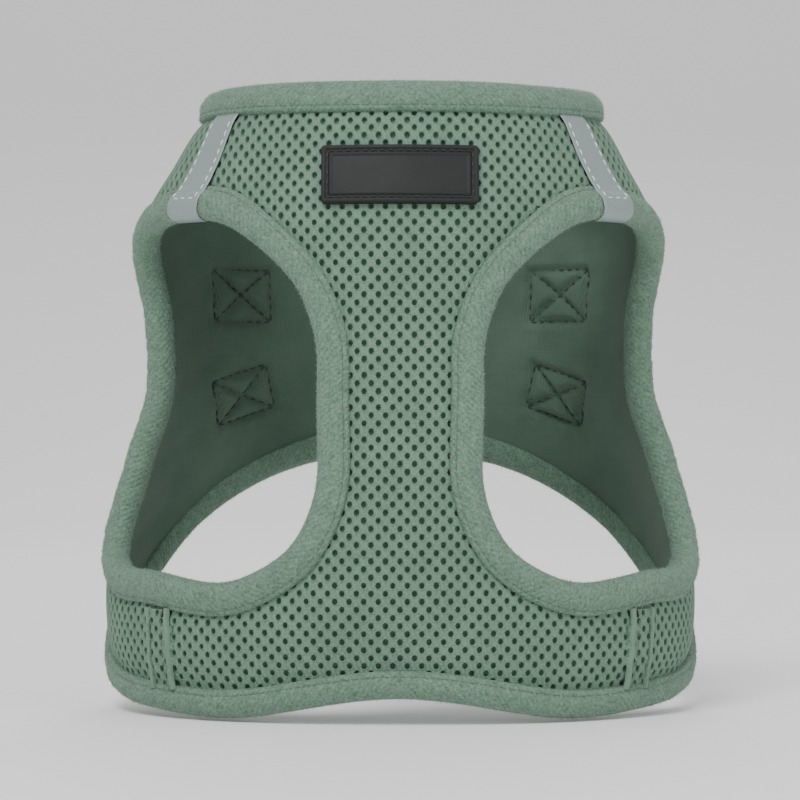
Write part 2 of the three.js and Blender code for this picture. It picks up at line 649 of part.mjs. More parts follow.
const ringHeight = BODY_HEIGHT - RING_ANCHOR_DROP;
const ringAnchor = backFrame(ANCHOR_ARC_FROM_BACK, ringHeight, 0, RING_STRAP_SLOPE);
const flapOuter = flapBase + FLAP_THICKNESS;
const ringLift = flapOuter + RING_STOCK / 2 + HARDWARE_LIFT;
const ringHalf = RING_WEBBING_WIDTH / 2 + RING_CLEARANCE + RING_STOCK;
const barDrop = -(RING_BAR_REACH ** 2) / 2 / (halfWidth(ringHeight) ** 2 / halfDepth(ringHeight));
const ringBar = new THREE.Vector2(RING_BAR_REACH, barDrop + ringLift);
const barCornerRadius = (RING_STOCK / 2) * Math.SQRT2;
const ringStrap = webbingSolid(
  strapPath(ringAnchor, RING_STRAP_SLOPE, ANCHOR_ARC_FROM_BACK, ringHeight, ringBar, barCornerRadius),
  RING_WEBBING_WIDTH,
);

// D ring: a straight bar and a round bow with a short flat crown, cut from round-cornered stock.
function ringOutline(inset) {
  const half = ringHalf - inset;
  const crown = 4 - inset / 2;
  const shape = new THREE.Path();
  const near = -RING_STOCK / 2 + inset;
  const far = RING_DEPTH + RING_STOCK / 2 - inset;
  shape.moveTo(near, -half);
  shape.lineTo(RING_DEPTH * 0.35, -half);
  shape.bezierCurveTo(RING_DEPTH * 0.75, -half, far, -half * 0.75, far, -crown);
  shape.lineTo(far, crown);
  shape.bezierCurveTo(far, half * 0.75, RING_DEPTH * 0.75, half, RING_DEPTH * 0.35, half);
  shape.lineTo(near, half);
  return shape.getPoints(5);
}
const ringShape = new THREE.Shape(ringOutline(0));
ringShape.holes.push(new THREE.Path(ringOutline(RING_STOCK)));
const ringBody = new THREE.ExtrudeGeometry(ringShape, { depth: RING_STOCK, bevelEnabled: false });
ringBody.translate(0, 0, -RING_STOCK / 2);

function addRing(side, frame) {
  const holder = placed(frame);
  add(`d_ring_strap_${side}`, ringStrap, FINISH.webbing, holder);
  const pivot = new THREE.Group();
  pivot.position.set(ringBar.x, 0, ringBar.y);
  pivot.rotation.y = radians(RING_REST_TILT);
  holder.add(pivot);
  add(`d_ring_${side}`, ringBody, FINISH.metal, pivot);
}
addRing('right', ringAnchor);
addRing('left', leftFrame(ringAnchor));

const block = (x0, x1, halfY, z0, z1, bevel = 0) => {
  const shape = new THREE.Shape();
  const r = bevel || 0.01;
  shape.moveTo(x0 + r, -halfY);
  shape.lineTo(x1 - r, -halfY);
  shape.quadraticCurveTo(x1, -halfY, x1, -halfY + r);
  shape.lineTo(x1, halfY - r);
  shape.quadraticCurveTo(x1, halfY, x1 - r, halfY);
  shape.lineTo(x0 + r, halfY);
  shape.quadraticCurveTo(x0, halfY, x0, halfY - r);
  shape.lineTo(x0, -halfY + r);
  shape.quadraticCurveTo(x0, -halfY, x0 + r, -halfY);
  const geometry = new THREE.ExtrudeGeometry(shape, { depth: z1 - z0, bevelEnabled: false, curveSegments: bevel ? 4 : 1 });
  geometry.translate(0, 0, z0);
  return geometry;
};

const cut = (base, ...tools) => fromManifold(
  tools.reduce((solid, tool) => solid.subtract(toManifold(tool)), toManifold(base)),
);
const join = (base, ...tools) => fromManifold(
  tools.reduce((solid, tool) => solid.add(toManifold(tool)), toManifold(base)),
);

const buckleHeight = BODY_HEIGHT - BUCKLE_DROP;
const buckleLift = flapOuter + HARDWARE_LIFT + BUCKLE_THICKNESS / 2;
const halfThick = BUCKLE_THICKNESS / 2;
const halfBuckle = BUCKLE_WIDTH / 2;
const halfSlot = BUCKLE_WEBBING_WIDTH / 2 + SLOT_SIDE_CLEARANCE;
const slotLength = WEBBING_THICKNESS + 5 * TOUCH_GAP;
const barHalf = BUCKLE_BAR / 2;
const buckleAnchor = backFrame(ANCHOR_ARC_FROM_BACK, buckleHeight, 0, 0);

// A webbing bar at the near end of a buckle half, with room for the webbing to pass round it.
function withBar(base, nearEnd) {
  const barEnd = nearEnd + BUCKLE_BAR + 0.6;
  const open = block(nearEnd - 1, barEnd + slotLength, halfSlot, -halfThick - 1, halfThick + 1);
  const bar = block(nearEnd + 0.6, barEnd, halfSlot + 0.5, -barHalf, barHalf);
  return join(cut(base, open), bar);
}

function addBuckleStrap(side, frame, halfFrame, nearEnd) {
  const barCentre = new THREE.Vector3(nearEnd + 0.6 + barHalf, 0, 0).applyMatrix4(halfFrame)
    .applyMatrix4(buckleAnchor.clone().invert());
  const path = strapPath(
    buckleAnchor, 0, ANCHOR_ARC_FROM_BACK, buckleHeight,
    new THREE.Vector2(barCentre.x, barCentre.z), barHalf * Math.SQRT2,
  );
  const holder = placed(frame);
  add(`buckle_strap_${side}`, webbingSolid(path, BUCKLE_WEBBING_WIDTH), FINISH.webbing, holder);
  return { holder, path };
}

// Housing of the side-release buckle, on the left wing, with its mouth towards the centre of the back.
const housingEnd = -HOUSING_LENGTH / 2;
const housingFrame = backFrame(HOUSING_ARC_FROM_BACK, buckleHeight, buckleLift, 0);
const cavityHalf = halfThick - HOUSING_WALL;
const cavityWall = 2.6;
const mouth = block(
  housingEnd + 8, HOUSING_LENGTH / 2 + 1, halfBuckle - cavityWall, -cavityHalf, cavityHalf,
);
const sideWindow = block(
  housingEnd + 9, HOUSING_LENGTH / 2 - 6, halfBuckle + 1, -cavityHalf, cavityHalf,
);
const shell = block(housingEnd, HOUSING_LENGTH / 2, halfBuckle, -halfThick, halfThick, BUCKLE_CORNER);
add('buckle_housing', withBar(cut(shell, mouth, sideWindow), housingEnd), FINISH.plastic,
  placed(leftFrame(housingFrame)));
addBuckleStrap('left', leftFrame(buckleAnchor), housingFrame, housingEnd);

// Plug of the buckle, on the right wing: base, centre tongue and two sprung prongs.
const plugEnd = -PLUG_LENGTH / 2;
const plugFace = PLUG_LENGTH / 2;
const plugFrame = backFrame(PLUG_ARC_FROM_BACK, buckleHeight, buckleLift, 0);
const plugThick = cavityHalf + 0.7;
const plugBase = block(plugEnd, plugFace, halfBuckle, -plugThick, plugThick, BUCKLE_CORNER * 0.6);
const tongueHalf = PRONG_THICKNESS / 2;
const tongue = block(plugFace - 1, plugFace + TONGUE_LENGTH, TONGUE_WIDTH / 2, -tongueHalf, tongueHalf, 1);
const plugHolder = placed(plugFrame);
add('buckle_plug', join(withBar(plugBase, plugEnd), tongue), FINISH.plastic, plugHolder);
const { holder: strapHolder, path: strapRun } = addBuckleStrap('right', buckleAnchor, plugFrame, plugEnd);

const prongOuter = halfBuckle - cavityWall - TOUCH_GAP;
const prongShape = new THREE.Shape();
const prongRoot = plugFace + TOUCH_GAP;
const prongTip = prongRoot + PRONG_LENGTH;
prongShape.moveTo(prongRoot, prongOuter - PRONG_WIDTH);
prongShape.lineTo(prongTip - 2, prongOuter - PRONG_WIDTH);
prongShape.quadraticCurveTo(prongTip, prongOuter - PRONG_WIDTH, prongTip, prongOuter - PRONG_WIDTH + 1.6);
prongShape.lineTo(prongTip - 5, prongOuter + PRONG_HEAD);
prongShape.lineTo(prongTip - 7.5, prongOuter + PRONG_HEAD);
prongShape.lineTo(prongTip - 8, prongOuter - 0.6);
prongShape.lineTo(prongRoot, prongOuter - 0.6);
const prong = new THREE.ExtrudeGeometry(prongShape, { depth: PRONG_THICKNESS, bevelEnabled: false, curveSegments: 4 });
prong.translate(0, 0, -PRONG_THICKNESS / 2);
add('buckle_prong_upper', prong, FINISH.plastic, plugHolder);
const turned = new THREE.Group();
turned.rotation.x = Math.PI;
plugHolder.add(turned);
add('buckle_prong_lower', prong, FINISH.plastic, turned);

// Elastic keeper round both layers of the right buckle strap, between the anchor and the bar.
const keeperAt = strapRun[6].clone().lerp(strapRun[7], 0.42);
const keeperTop = strapRun[15].clone().lerp(strapRun[14], 0.42);
const keeperMiddle = keeperAt.clone().add(keeperTop).multiplyScalar(0.5);
const keeperRise = strapRun[7].clone().sub(strapRun[6]);
const keeperHalf = keeperAt.distanceTo(keeperTop) / 2 + WEBBING_THICKNESS / 2 + KEEPER_CLEARANCE;
const keeperSide = BUCKLE_WEBBING_WIDTH / 2 + 0.4;
const keeperLoop = (grow, long) => {
  const geometry = block(-long / 2, long / 2, keeperSide + grow, -keeperHalf - grow, keeperHalf + grow);
  return geometry;
};
const keeperHolder = new THREE.Group();
keeperHolder.position.set(keeperMiddle.x, 0, keeperMiddle.y);
keeperHolder.rotation.y = -Math.atan2(keeperRise.y, keeperRise.x);
strapHolder.add(keeperHolder);
add('strap_keeper', cut(keeperLoop(KEEPER_THICKNESS, KEEPER_WIDTH), keeperLoop(0, KEEPER_WIDTH + 2)),
  FINISH.binding, keeperHolder);

export default group;
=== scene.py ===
import math
import bmesh
import bpy
import numpy as np
from mathutils import Matrix, Vector


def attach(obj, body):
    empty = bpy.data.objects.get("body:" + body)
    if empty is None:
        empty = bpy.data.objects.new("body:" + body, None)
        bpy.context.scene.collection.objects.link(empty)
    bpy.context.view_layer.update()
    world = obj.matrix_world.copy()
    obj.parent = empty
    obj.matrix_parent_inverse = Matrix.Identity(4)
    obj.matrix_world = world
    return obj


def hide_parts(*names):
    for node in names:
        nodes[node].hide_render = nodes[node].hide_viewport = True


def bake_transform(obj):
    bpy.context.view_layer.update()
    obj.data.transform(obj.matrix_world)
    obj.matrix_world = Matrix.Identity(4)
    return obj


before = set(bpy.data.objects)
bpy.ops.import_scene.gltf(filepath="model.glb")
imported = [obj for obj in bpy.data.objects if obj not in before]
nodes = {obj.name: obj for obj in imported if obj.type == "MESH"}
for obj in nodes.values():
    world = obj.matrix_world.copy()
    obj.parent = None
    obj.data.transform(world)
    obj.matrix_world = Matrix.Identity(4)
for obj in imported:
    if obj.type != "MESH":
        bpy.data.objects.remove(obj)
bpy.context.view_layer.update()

# ---- Camera, floor and light: a level view of the chest from about a metre, plain pale sweep, soft boxes.
mid_height = 0.091
camera_data = bpy.data.cameras.new("studio_camera")
camera_data.lens = 150
camera_data.sensor_width = 36
camera = bpy.data.objects.new("studio_camera", camera_data)
camera.location = (0, -1.0, mid_height)
camera.rotation_euler = (math.pi / 2, 0, 0)
bpy.context.scene.collection.objects.link(camera)
bpy.context.scene.camera = camera


def add_light(name, place, size, power):
    data = bpy.data.lights.new(name, "AREA")
    data.shape = "DISK"
    data.size = size
    data.energy = power
    lamp = bpy.data.objects.new(name, data)
    lamp.location = place
    aim = Vector((0, 0, mid_height)) - Vector(place)
    lamp.rotation_euler = aim.to_track_quat("-Z", "Y").to_euler()
    bpy.context.scene.collection.objects.link(lamp)


add_light("key_softbox", (-0.35, -0.9, 1.25), 0.7, 15)
add_light("fill_softbox", (0.9, -1.0, 0.6), 0.9, 4)
add_light("rim_softbox", (0.1, 1.2, 1.1), 0.9, 8)
world = bpy.data.worlds.new("studio_world")
world.use_nodes = True
world.node_tree.nodes["Background"].inputs["Color"].default_value = (1, 1, 1, 1)
world.node_tree.nodes["Background"].inputs["Strength"].default_value = 0.62
bpy.context.scene.world = world


# Shader maths as expressions: a Value wraps an output socket, a Finish holds one surface.
class Value:
    def __init__(self, finish, socket):
        self.finish = finish
        self.socket = socket

    def _math(self, operation, first, second=0.0, third=0.0):
        return self.finish.node("ShaderNodeMath", {"operation": operation}, {0: first, 1: second, 2: third})

    def __add__(self, other):
        return self._math("ADD", self, other)

    def __radd__(self, other):
        return self._math("ADD", other, self)

    def __sub__(self, other):
        return self._math("SUBTRACT", self, other)

    def __rsub__(self, other):
        return self._math("SUBTRACT", other, self)

    def __mul__(self, other):
        return self._math("MULTIPLY", self, other)

    def __rmul__(self, other):
        return self._math("MULTIPLY", other, self)

    def __truediv__(self, other):
        return self._math("DIVIDE", self, other)

    def __pow__(self, other):
        return self._math("POWER", self, other)

    def wave(self, period):
        return self._math("SINE", self * (2 * math.pi / period)) * 0.5 + 0.5

    def clamp(self, low, high):
        return self._math("MAXIMUM", self._math("MINIMUM", self, high), low)


class Finish:
    def __init__(self, name, roughness=0.8, metallic=0.0, sheen=0.0, coat=0.0):
        self.material = bpy.data.materials.new(name)
        self.material.use_nodes = True
        self.tree = self.material.node_tree
        self.shader = self.tree.nodes["Principled BSDF"]
        self.shader.inputs["Roughness"].default_value = roughness
        self.shader.inputs["Metallic"].default_value = metallic
        self.shader.inputs["Sheen Weight"].default_value = sheen
        self.shader.inputs["Sheen Roughness"].default_value = 0.5
        self.shader.inputs["Coat Weight"].default_value = coat

    def node(self, kind, settings, sockets, output=0):
        made = self.tree.nodes.new(kind)
        for key, value in settings.items():
            setattr(made, key, value)
        for key, value in sockets.items():
            if isinstance(value, Value):
                self.tree.links.new(value.socket, made.inputs[key])
            else:
                made.inputs[key].default_value = value
        return Value(self, made.outputs[output])

    def place(self):
        return self.node("ShaderNodeTexCoord", {}, {}, "Object")

    def noise(self, scale, detail=3.0, output=0):
        sockets = {"Vector": self.place(), "Scale": scale, "Detail": detail}
        return self.node("ShaderNodeTexNoise", {}, sockets, output)

    def cloth(self):
        """Distances in millimetres along and across the cloth, kept in the piece's UV map."""
        uv = self.node("ShaderNodeUVMap", {"uv_map": "cloth"}, {})
        return [self.node("ShaderNodeSeparateXYZ", {}, {0: uv}, axis) for axis in (0, 1)]

    def mix(self, factor, first, second):
        mixer = self.tree.nodes.new("ShaderNodeMix")
        mixer.data_type = "RGBA"
        for socket, value in zip((mixer.inputs[k] for k in (0, 6, 7)), (factor, first, second)):
            if isinstance(value, Value):
                self.tree.links.new(value.socket, socket)
            elif isinstance(value, tuple):
                socket.default_value = (*value, 1)
            else:
                socket.default_value = value
        return Value(self, mixer.outputs[2])

    def use(self, name, value):
        self.tree.links.new(value.socket, self.shader.inputs[name])

    def colour(self, factor, first, second):
        self.use("Base Color", self.mix(factor, first, second))

    def bump(self, height, depth_mm, strength=1.0):
        sockets = {"Strength": strength, "Distance": depth_mm / 1000, "Height": height}
        self.use("Normal", self.node("ShaderNodeBump", {}, sockets))


sweep_finish = Finish("pale_sweep", roughness=0.9)
sweep_finish.colour(sweep_finish.noise(3), (0.93, 0.93, 0.93), (0.95, 0.95, 0.95))
sweep = bmesh.new()
sweep_start, sweep_radius, floor_drop = 1.2, 0.8, 0.0008
sweep_line = [(-3.0, 0.0), (sweep_start, 0.0)]
for turned in np.linspace(0.15, math.pi / 2, 12):
    rise = sweep_radius * (1 - math.cos(turned))
    sweep_line.append((sweep_start + sweep_radius * math.sin(turned), rise))
sweep_line.append((2.0, 4.0))
rails = [[sweep.verts.new((x, y, z - floor_drop)) for x in (-4, 4)] for y, z in sweep_line]
for near, far in zip(rails, rails[1:]):
    sweep.faces.new((near[0], near[1], far[1], far[0]))
sweep_mesh = bpy.data.meshes.new("floor_sweep")
sweep.to_mesh(sweep_mesh)
for face in sweep_mesh.polygons:
    face.use_smooth = True
floor = bpy.data.objects.new("floor_sweep", sweep_mesh)
floor.data.materials.append(sweep_finish.material)
bpy.context.scene.collection.objects.link(floor)

# ---- Air mesh body: a knitted spacer fabric, punched-looking with staggered oval holes, over the body form.
# The chest panel stays with the root; each wing's cloth is cut from it at the side fold line.
body_height = 183.0
back_length = 108.5
neck_half = (56.0, 46.0)
shoulder_half = (77.5, 57.0)
waist_half = (75.0, 60.0)
girth_half = (87.5, 64.0)
girth_height = 46.0
hem_tuck = 3.5
shoulder_height = body_height - 41
waist_height = body_height - 80


def halfway(first, second):
    return tuple((a + b) / 2 for a, b in zip(first, second))


stations = np.array([
    (0, girth_half[0] - hem_tuck, girth_half[1] - hem_tuck),
    (girth_height * 0.4, girth_half[0], girth_half[1] - 1),
    (girth_height, *girth_half),
    halfway((girth_height, *girth_half), (waist_height, *waist_half)),
    (waist_height - 10, waist_half[0] + 0.5, waist_half[1] + 1),
    (waist_height + 12, waist_half[0], waist_half[1] - 1),
    (shoulder_height, *shoulder_half),
    halfway((body_height, *neck_half), (shoulder_height, *shoulder_half)),
    (body_height, *neck_half),
])


def smooth_through(rows, position, column):
    """Smooth curve through rows of [position, values], straight beyond the ends."""
    rows = np.asarray(rows, float)
    position = np.asarray(position, float)
    xs, ys = rows[:, 0], rows[:, column]
    before = np.maximum(np.arange(len(xs)) - 1, 0)
    after = np.minimum(np.arange(len(xs)) + 1, len(xs) - 1)
    slopes = (ys[after] - ys[before]) / (xs[after] - xs[before])
    k = np.clip(np.searchsorted(xs, position) - 1, 0, len(xs) - 2)
    span = xs[k + 1] - xs[k]
    s = (position - xs[k]) / span
    rise = ys[k + 1] - ys[k]
    c = 3 * rise - (2 * slopes[k] + slopes[k + 1]) * span
    d = -2 * rise + (slopes[k] + slopes[k + 1]) * span
    value = ys[k] + s * (slopes[k] * span + s * (c + s * d))
    value = np.where(s < 0, ys[0] + slopes[0] * (position - xs[0]), value)
    return np.where(s > 1, ys[-1] + slopes[-1] * (position - xs[-1]), value)


def half_sizes(z):
    return smooth_through(stations, z, 1), smooth_through(stations, z, 2)


def form_frame(angle, z):
    t = np.radians(angle)
    a, b = half_sizes(z)
    (a1, b1), (a0, b0) = half_sizes(z + 0.01), half_sizes(z - 0.01)
    around = np.stack([a * np.cos(t), b * np.sin(t), np.zeros_like(a)], -1)
    up = np.stack([(a1 - a0) / 0.02 * np.sin(t), -(b1 - b0) / 0.02 * np.cos(t), np.ones_like(a)], -1)
    return t, a, b, around, up


def unit(vectors):
    return vectors / np.linalg.norm(vectors, axis=-1, keepdims=True)


def on_form(angle, z, lift):
    """Points in metres: angle in degrees from the chest towards +X, height and lift in millimetres."""
    angle, z, lift = np.broadcast_arrays(*(np.asarray(item, float) for item in (angle, z, lift)))
    t, a, b, around, up = form_frame(angle, z)
    normal = unit(np.cross(around, up))
    drape = 0.35 * np.sin(3 * t + 0.045 * z + 1) + 0.25 * np.sin(5 * t - 0.07 * z)
    point = np.stack([a * np.sin(t), -b * np.cos(t), z], -1)
    return (point + normal * (lift + drape)[..., None]) / 1000


def shift(angle, z, around_mm, up_mm):
    t, a, b, around, up = form_frame(np.asarray(angle, float), np.asarray(z, float))
    return (
        angle + np.degrees(around_mm / np.linalg.norm(around, axis=-1)),
        z + up_mm / np.linalg.norm(up, axis=-1),
    )


def arc_terms(z):
    a, b = half_sizes(z)
    diagonal = np.sqrt((a * a + b * b) / 2)
    return (a + 2 * diagonal + b) / 4, (a - b) / 2, (a - 2 * diagonal + b) / 4


def arc_of(angle, z):
    """Cloth length from the chest's centre line round to an angle."""
    t = np.radians(angle)
    c0, c2, c4 = arc_terms(z)
    return c0 * t + c2 / 2 * np.sin(2 * t) + c4 / 4 * np.sin(4 * t)


def back_arc(z):
    return arc_of(180.0, z)


def angle_of(arc, z):
    c0, c2, c4 = arc_terms(z)
    t = arc / c0
    for _ in range(6):
        miss = c0 * t + c2 / 2 * np.sin(2 * t) + c4 / 4 * np.sin(4 * t) - arc
        t = t - miss / (c0 + c2 * np.cos(2 * t) + c4 * np.cos(4 * t))
    return np.degrees(t)


armhole_bottom = 39.0
armhole_top = body_height - 39
armhole_points = [
    (18.6, 0.5), (19.6, 0.68), (25.6, 0.84), (41.9, 0.98), (61.3, 1), (78, 0.95), (88.5, 0.82), (92, 0.63),
    (92, 0.44), (90, 0.25), (83, 0.1), (70, 0.035), (55.9, 0.025), (36.2, 0), (28.5, 0.03), (21.3, 0.1),
    (17, 0.25),
]


def closed_curve(points, steps):
    """Centripetal curve through a closed list of points, resampled evenly."""
    points = np.asarray(points, float)
    count = len(points)
    fine = []
    for i in range(count):
        p0, p1, p2, p3 = (points[(i + k) % count] for k in (-1, 0, 1, 2))
        d0, d1, d2 = (max(np.linalg.norm(q - p) ** 0.5, 1e-6) for p, q in ((p0, p1), (p1, p2), (p2, p3)))
        m1 = ((p1 - p0) / d0 - (p2 - p0) / (d0 + d1) + (p2 - p1) / d1) * d1
        m2 = ((p2 - p1) / d1 - (p3 - p1) / (d1 + d2) + (p3 - p2) / d2) * d1
        for s in np.linspace(0, 1, 40, endpoint=False):
            h = (2 * s**3 - 3 * s**2 + 1, s**3 - 2 * s**2 + s, -2 * s**3 + 3 * s**2, s**3 - s**2)
            fine.append(h[0] * p1 + h[1] * m1 + h[2] * p2 + h[3] * m2)
    fine = np.array(fine + [fine[0]])
    return even(fine, steps + 1)[:-1]


def lengths(line):
    return np.concatenate([[0], np.cumsum(np.linalg.norm(np.diff(line, axis=0), axis=1))])


def sample(places, length, line):
    """The line's columns read at places along its length."""
    return np.stack([np.interp(places, length, column) for column in line.T], -1)


def even(line, count):
    """The same line of form positions with stations evenly spaced along the cloth."""
    length = lengths(on_form(line[:, 0], line[:, 1], 0))
    return sample(np.linspace(0, length[-1], count), length, line)


armhole_tall = armhole_top - armhole_bottom
armhole_line = closed_curve([(t, armhole_bottom + s * armhole_tall) for t, s in armhole_points], 600)
back_hem = body_height - back_length
hem_side = 3.5
hem_points = [(-34, 0), (0, 6.4), (34, 0), (58, 1.2), (75, hem_side)]
back_rise = [(92, 0.085), (118, 0.47), (131, 0.69), (146, 0.863), (161, 0.962), (180, 1), (199, 0.962)]
hem_points += [(t, hem_side + s * (back_hem - hem_side)) for t, s in back_rise]


def hem_height(angle):
    return smooth_through(hem_points, np.abs(angle), 1)


back_split = 1.5
fold_bend = Vector((0.3, 0.95, -0.035)).normalized()
fold_start = Vector((0.076, -0.032, 0.025))


def fold_place(points):
    """How far points lie behind the side fold line, in metres, for the right-hand side."""
    mirror = np.stack([np.abs(points[..., 0]), points[..., 1], points[..., 2]], -1)
    return (mirror - np.array(fold_start)) @ np.array(fold_bend)


def bend_with_wing(piece):
    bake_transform(piece)


def inside_polygon(px, py, polygon):
    inside = np.zeros(px.shape, bool)
    x1, y1 = polygon[-1]
    for x2, y2 in polygon:
        crosses = (y1 > py) != (y2 > py)
        with np.errstate(divide="ignore", invalid="ignore"):
            inside ^= crosses & (px < (x2 - x1) * (py - y1) / (y2 - y1) + x1)
        x1, y1 = x2, y2
    return inside


def edge_distance(arc, z, angle):
    """Signed millimetres from the nearest free edge of the body panel: positive on the cloth."""
    flat_hole = np.stack([arc_of(armhole_line[:, 0], armhole_line[:, 1]), armhole_line[:, 1]], -1)[::4]
    flat = np.stack([np.abs(arc), z], -1)
    nearest = np.full(arc.shape, 1e9)
    for k in range(0, len(flat), 20000):
        part = flat[k:k + 20000]
        gaps = np.linalg.norm(part[:, None] - flat_hole[None], axis=2)
        nearest[k:k + 20000] = gaps.min(1)
    nearest = np.where(inside_polygon(flat[:, 0], flat[:, 1], flat_hole), -nearest, nearest)
    slope = np.radians(hem_height(angle + 0.5) - hem_height(angle - 0.5)) / np.radians(1) / 1.25
    from_hem = (z - hem_height(angle)) / np.hypot(1, np.degrees(slope) / 57.3)
    back = back_arc(z) - back_split - np.abs(arc)
    return np.minimum.reduce([nearest, from_hem, body_height - z, back])


def make_mesh(name, points, faces, materials, uvs=None, face_slots=None):
    mesh = bpy.data.meshes.new(name)
    faces = np.asarray(faces)
    corners = faces.shape[1]
    mesh.vertices.add(len(points))
    mesh.vertices.foreach_set("co", np.asarray(points, np.float32).ravel())
    mesh.loops.add(faces.size)
    mesh.loops.foreach_set("vertex_index", faces.astype(np.int32).ravel())
    mesh.polygons.add(len(faces))
    mesh.polygons.foreach_set("loop_start", np.arange(0, faces.size, corners, dtype=np.int32))
    mesh.polygons.foreach_set("use_smooth", np.full(len(faces), True))
    if face_slots is not None:
        mesh.polygons.foreach_set("material_index", np.asarray(face_slots, np.int32))
    for finish in materials:
        mesh.materials.append(finish.material)
    if uvs is not None:
        layer = mesh.uv_layers.new(name="cloth")
        layer.data.foreach_set("uv", np.asarray(uvs, np.float32)[faces.ravel()].ravel())
    mesh.update(calc_edges=True)
    mesh.validate()
    piece = bpy.data.objects.new(name, mesh)
    bpy.context.scene.collection.objects.link(piece)
    return piece


def assign(piece, body, slot, *replaced):
    """The body a piece rides on and the solids it stands for; the slot is not used."""
    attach(piece, body)
    if replaced:
        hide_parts(*replaced)


yarn_light = (0.215, 0.335, 0.245)
yarn_dark = (0.09, 0.165, 0.112)
# hole_shade: painted shade, the dark colour given to the walls and floors of the holes
hole_shade = (0.06, 0.125, 0.082)
mesh_yarn = Finish("air_mesh_yarn", roughness=0.82, sheen=0.05)
along_cloth, across_cloth = mesh_yarn.cloth()
knit = (along_cloth + across_cloth * 0.5).wave(0.62) * (along_cloth - across_cloth * 0.5).wave(0.62)
patchy = mesh_yarn.noise(90, 4)
tone = (knit * 0.4 + patchy * 0.5 + mesh_yarn.noise(1700, 2) * 0.9 - 0.4).clamp(0, 1)
mesh_yarn.colour(tone, yarn_dark, yarn_light)
mesh_yarn.bump(knit + mesh_yarn.noise(2500, 2) * 0.5, 0.12, 0.7)
# Hole walls and floors: the inner layer's yarn, darkened with painted shade in the holes.
mesh_hole = Finish("air_mesh_painted_hole_shade", roughness=0.95)
mesh_hole.colour(mesh_hole.noise(1800, 2), hole_shade, (0.1, 0.18, 0.125))

pitch = 4.1
row_step = 2.28
hole_half = (0.78, 0.97)
seam_dip = 1.3


def mesh_lift(distance):
    """The padded cloth is pressed down where the edge tape is sewn over it."""
    return -seam_dip * np.exp(-np.clip(distance - 9.0, 0, None) / 2.6)


def merged(scaled):
    """Corners that meet become one: the first of each, and where every corner went."""
    keys = np.round(scaled).astype(np.int64)
    _, first, back = np.unique(keys, axis=0, return_index=True, return_inverse=True)
    return first, back.reshape(-1)


def mesh_cells(name, keep, extra_lift=None):
    """Staggered cells of yarn, each round one oval hole with a rolled rim, sides and a floor."""
    reach = math.ceil((back_arc(girth_height) + pitch) / pitch)
    centres = []
    for k, z in enumerate(np.arange(0, body_height, row_step)):
        across = np.arange(-reach, reach + 1) * pitch + (pitch / 2 if k % 2 else 0.0)
        centres.append(np.stack([across, np.full_like(across, z)], -1))
    centres = np.concatenate(centres)
    centres = centres[np.abs(centres[:, 0]) <= back_arc(centres[:, 1]) + pitch]
    angle = angle_of(centres[:, 0], centres[:, 1])
    centres = centres[keep(centres[:, 0], centres[:, 1], angle)]
    turns = np.radians(np.arange(8) * 45.0 - 90)
    corner = np.array([
        (0, -0.5), (0.5, -0.5), (0.5, 0), (0.5, 0.5), (0, 0.5), (-0.5, 0.5), (-0.5, 0), (-0.5, -0.5),
    ]) * (pitch, row_step)
    oval = np.stack([np.cos(turns) * hole_half[0], np.sin(turns) * hole_half[1]], -1)
    random = np.random.default_rng(7)
    sizes = random.normal(1, 0.035, (len(centres), 1, 1))
    rings = [
        (corner[None] * np.ones_like(sizes), 0.0),
        ((corner * 0.42 + oval * 0.72)[None] * np.ones_like(sizes), 0.14),
        (oval[None] * 1.05 * sizes, -0.1),
        (oval[None] * 0.93 * sizes, -0.5),
        (oval[None] * 0.9 * sizes, -1.25),
        (oval[None] * 0.05, -1.35),
    ]
    flat, lifts = [], []
    for outline, lift in rings:
        flat.append(centres[:, None] + outline * np.ones((len(centres), 1, 1)))
        lifts.append(np.full((len(centres), 8), lift))
    flat = np.stack(flat, 1).reshape(-1, 2)
    lifts = np.stack(lifts, 1).reshape(-1)
    flat[:, 1] = np.minimum(flat[:, 1], body_height)
    vertex_angle = angle_of(flat[:, 0], flat[:, 1])
    lifts = lifts + mesh_lift(edge_distance(flat[:, 0], flat[:, 1], vertex_angle))
    if extra_lift:
        lifts = lifts + extra_lift(flat[:, 0], flat[:, 1])
    points = on_form(vertex_angle, flat[:, 1], lifts)
    ring = np.arange(8)
    quads, slots = [], []
    for level in range(len(rings) - 1):
        low = level * 8 + ring
        step = level * 8 + (ring + 1) % 8
        quads.append(np.stack([low, step, step + 8, low + 8], -1))
        # The hole's walls and floor, from its lip down, take the dark hole colour: painted shade.
        slots.append(np.full(8, 1 if level >= 2 else 0))
    template = np.concatenate(quads)
    count = len(rings) * 8
    faces = (template[None] + (np.arange(len(centres)) * count)[:, None, None]).reshape(-1, 4)
    slots = np.tile(np.concatenate(slots), len(centres))
    first, back = merged(points * 1e6 / 20)
    return make_mesh(name, points[first], back[faces], [mesh_yarn, mesh_hole], flat[first], slots)


under_tape = 3.4


def panel_test(arc, z, angle):
    return (edge_distance(arc, z, angle) > under_tape) & (np.abs(angle) < 180)


def on_chest(arc, z, angle):
    return panel_test(arc, z, angle) & (fold_place(on_form(angle, z, 0)) < 0)


def on_wing(side):
    def keep(arc, z, angle):
        behind = fold_place(on_form(angle, z, 0)) >= 0
        return panel_test(arc, z, angle) & behind & (np.sign(arc) == side)
    return keep


chest = mesh_cells("chest_air_mesh", on_chest)
assign(chest, "root", "mesh", "chest_mesh")
for side, word in ((1, "right"), (-1, "left")):
    wing = mesh_cells(f"{word}_wing_air_mesh", on_wing(side))
    bend_with_wing(wing)
    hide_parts(f"{word}_wing_mesh")

# ---- Knitted lining: a fine soft knit sewn to the back of the air mesh, pulled in where the straps
# are sewn on with a stitched box and cross in dark thread.
lining_lift = -4.6
strap_arc = 55.0
boxes = [(strap_arc, 123.5, 11.0, 8.0, 0.0), (strap_arc, 93.0, 11.0, 6.8, 15.0)]


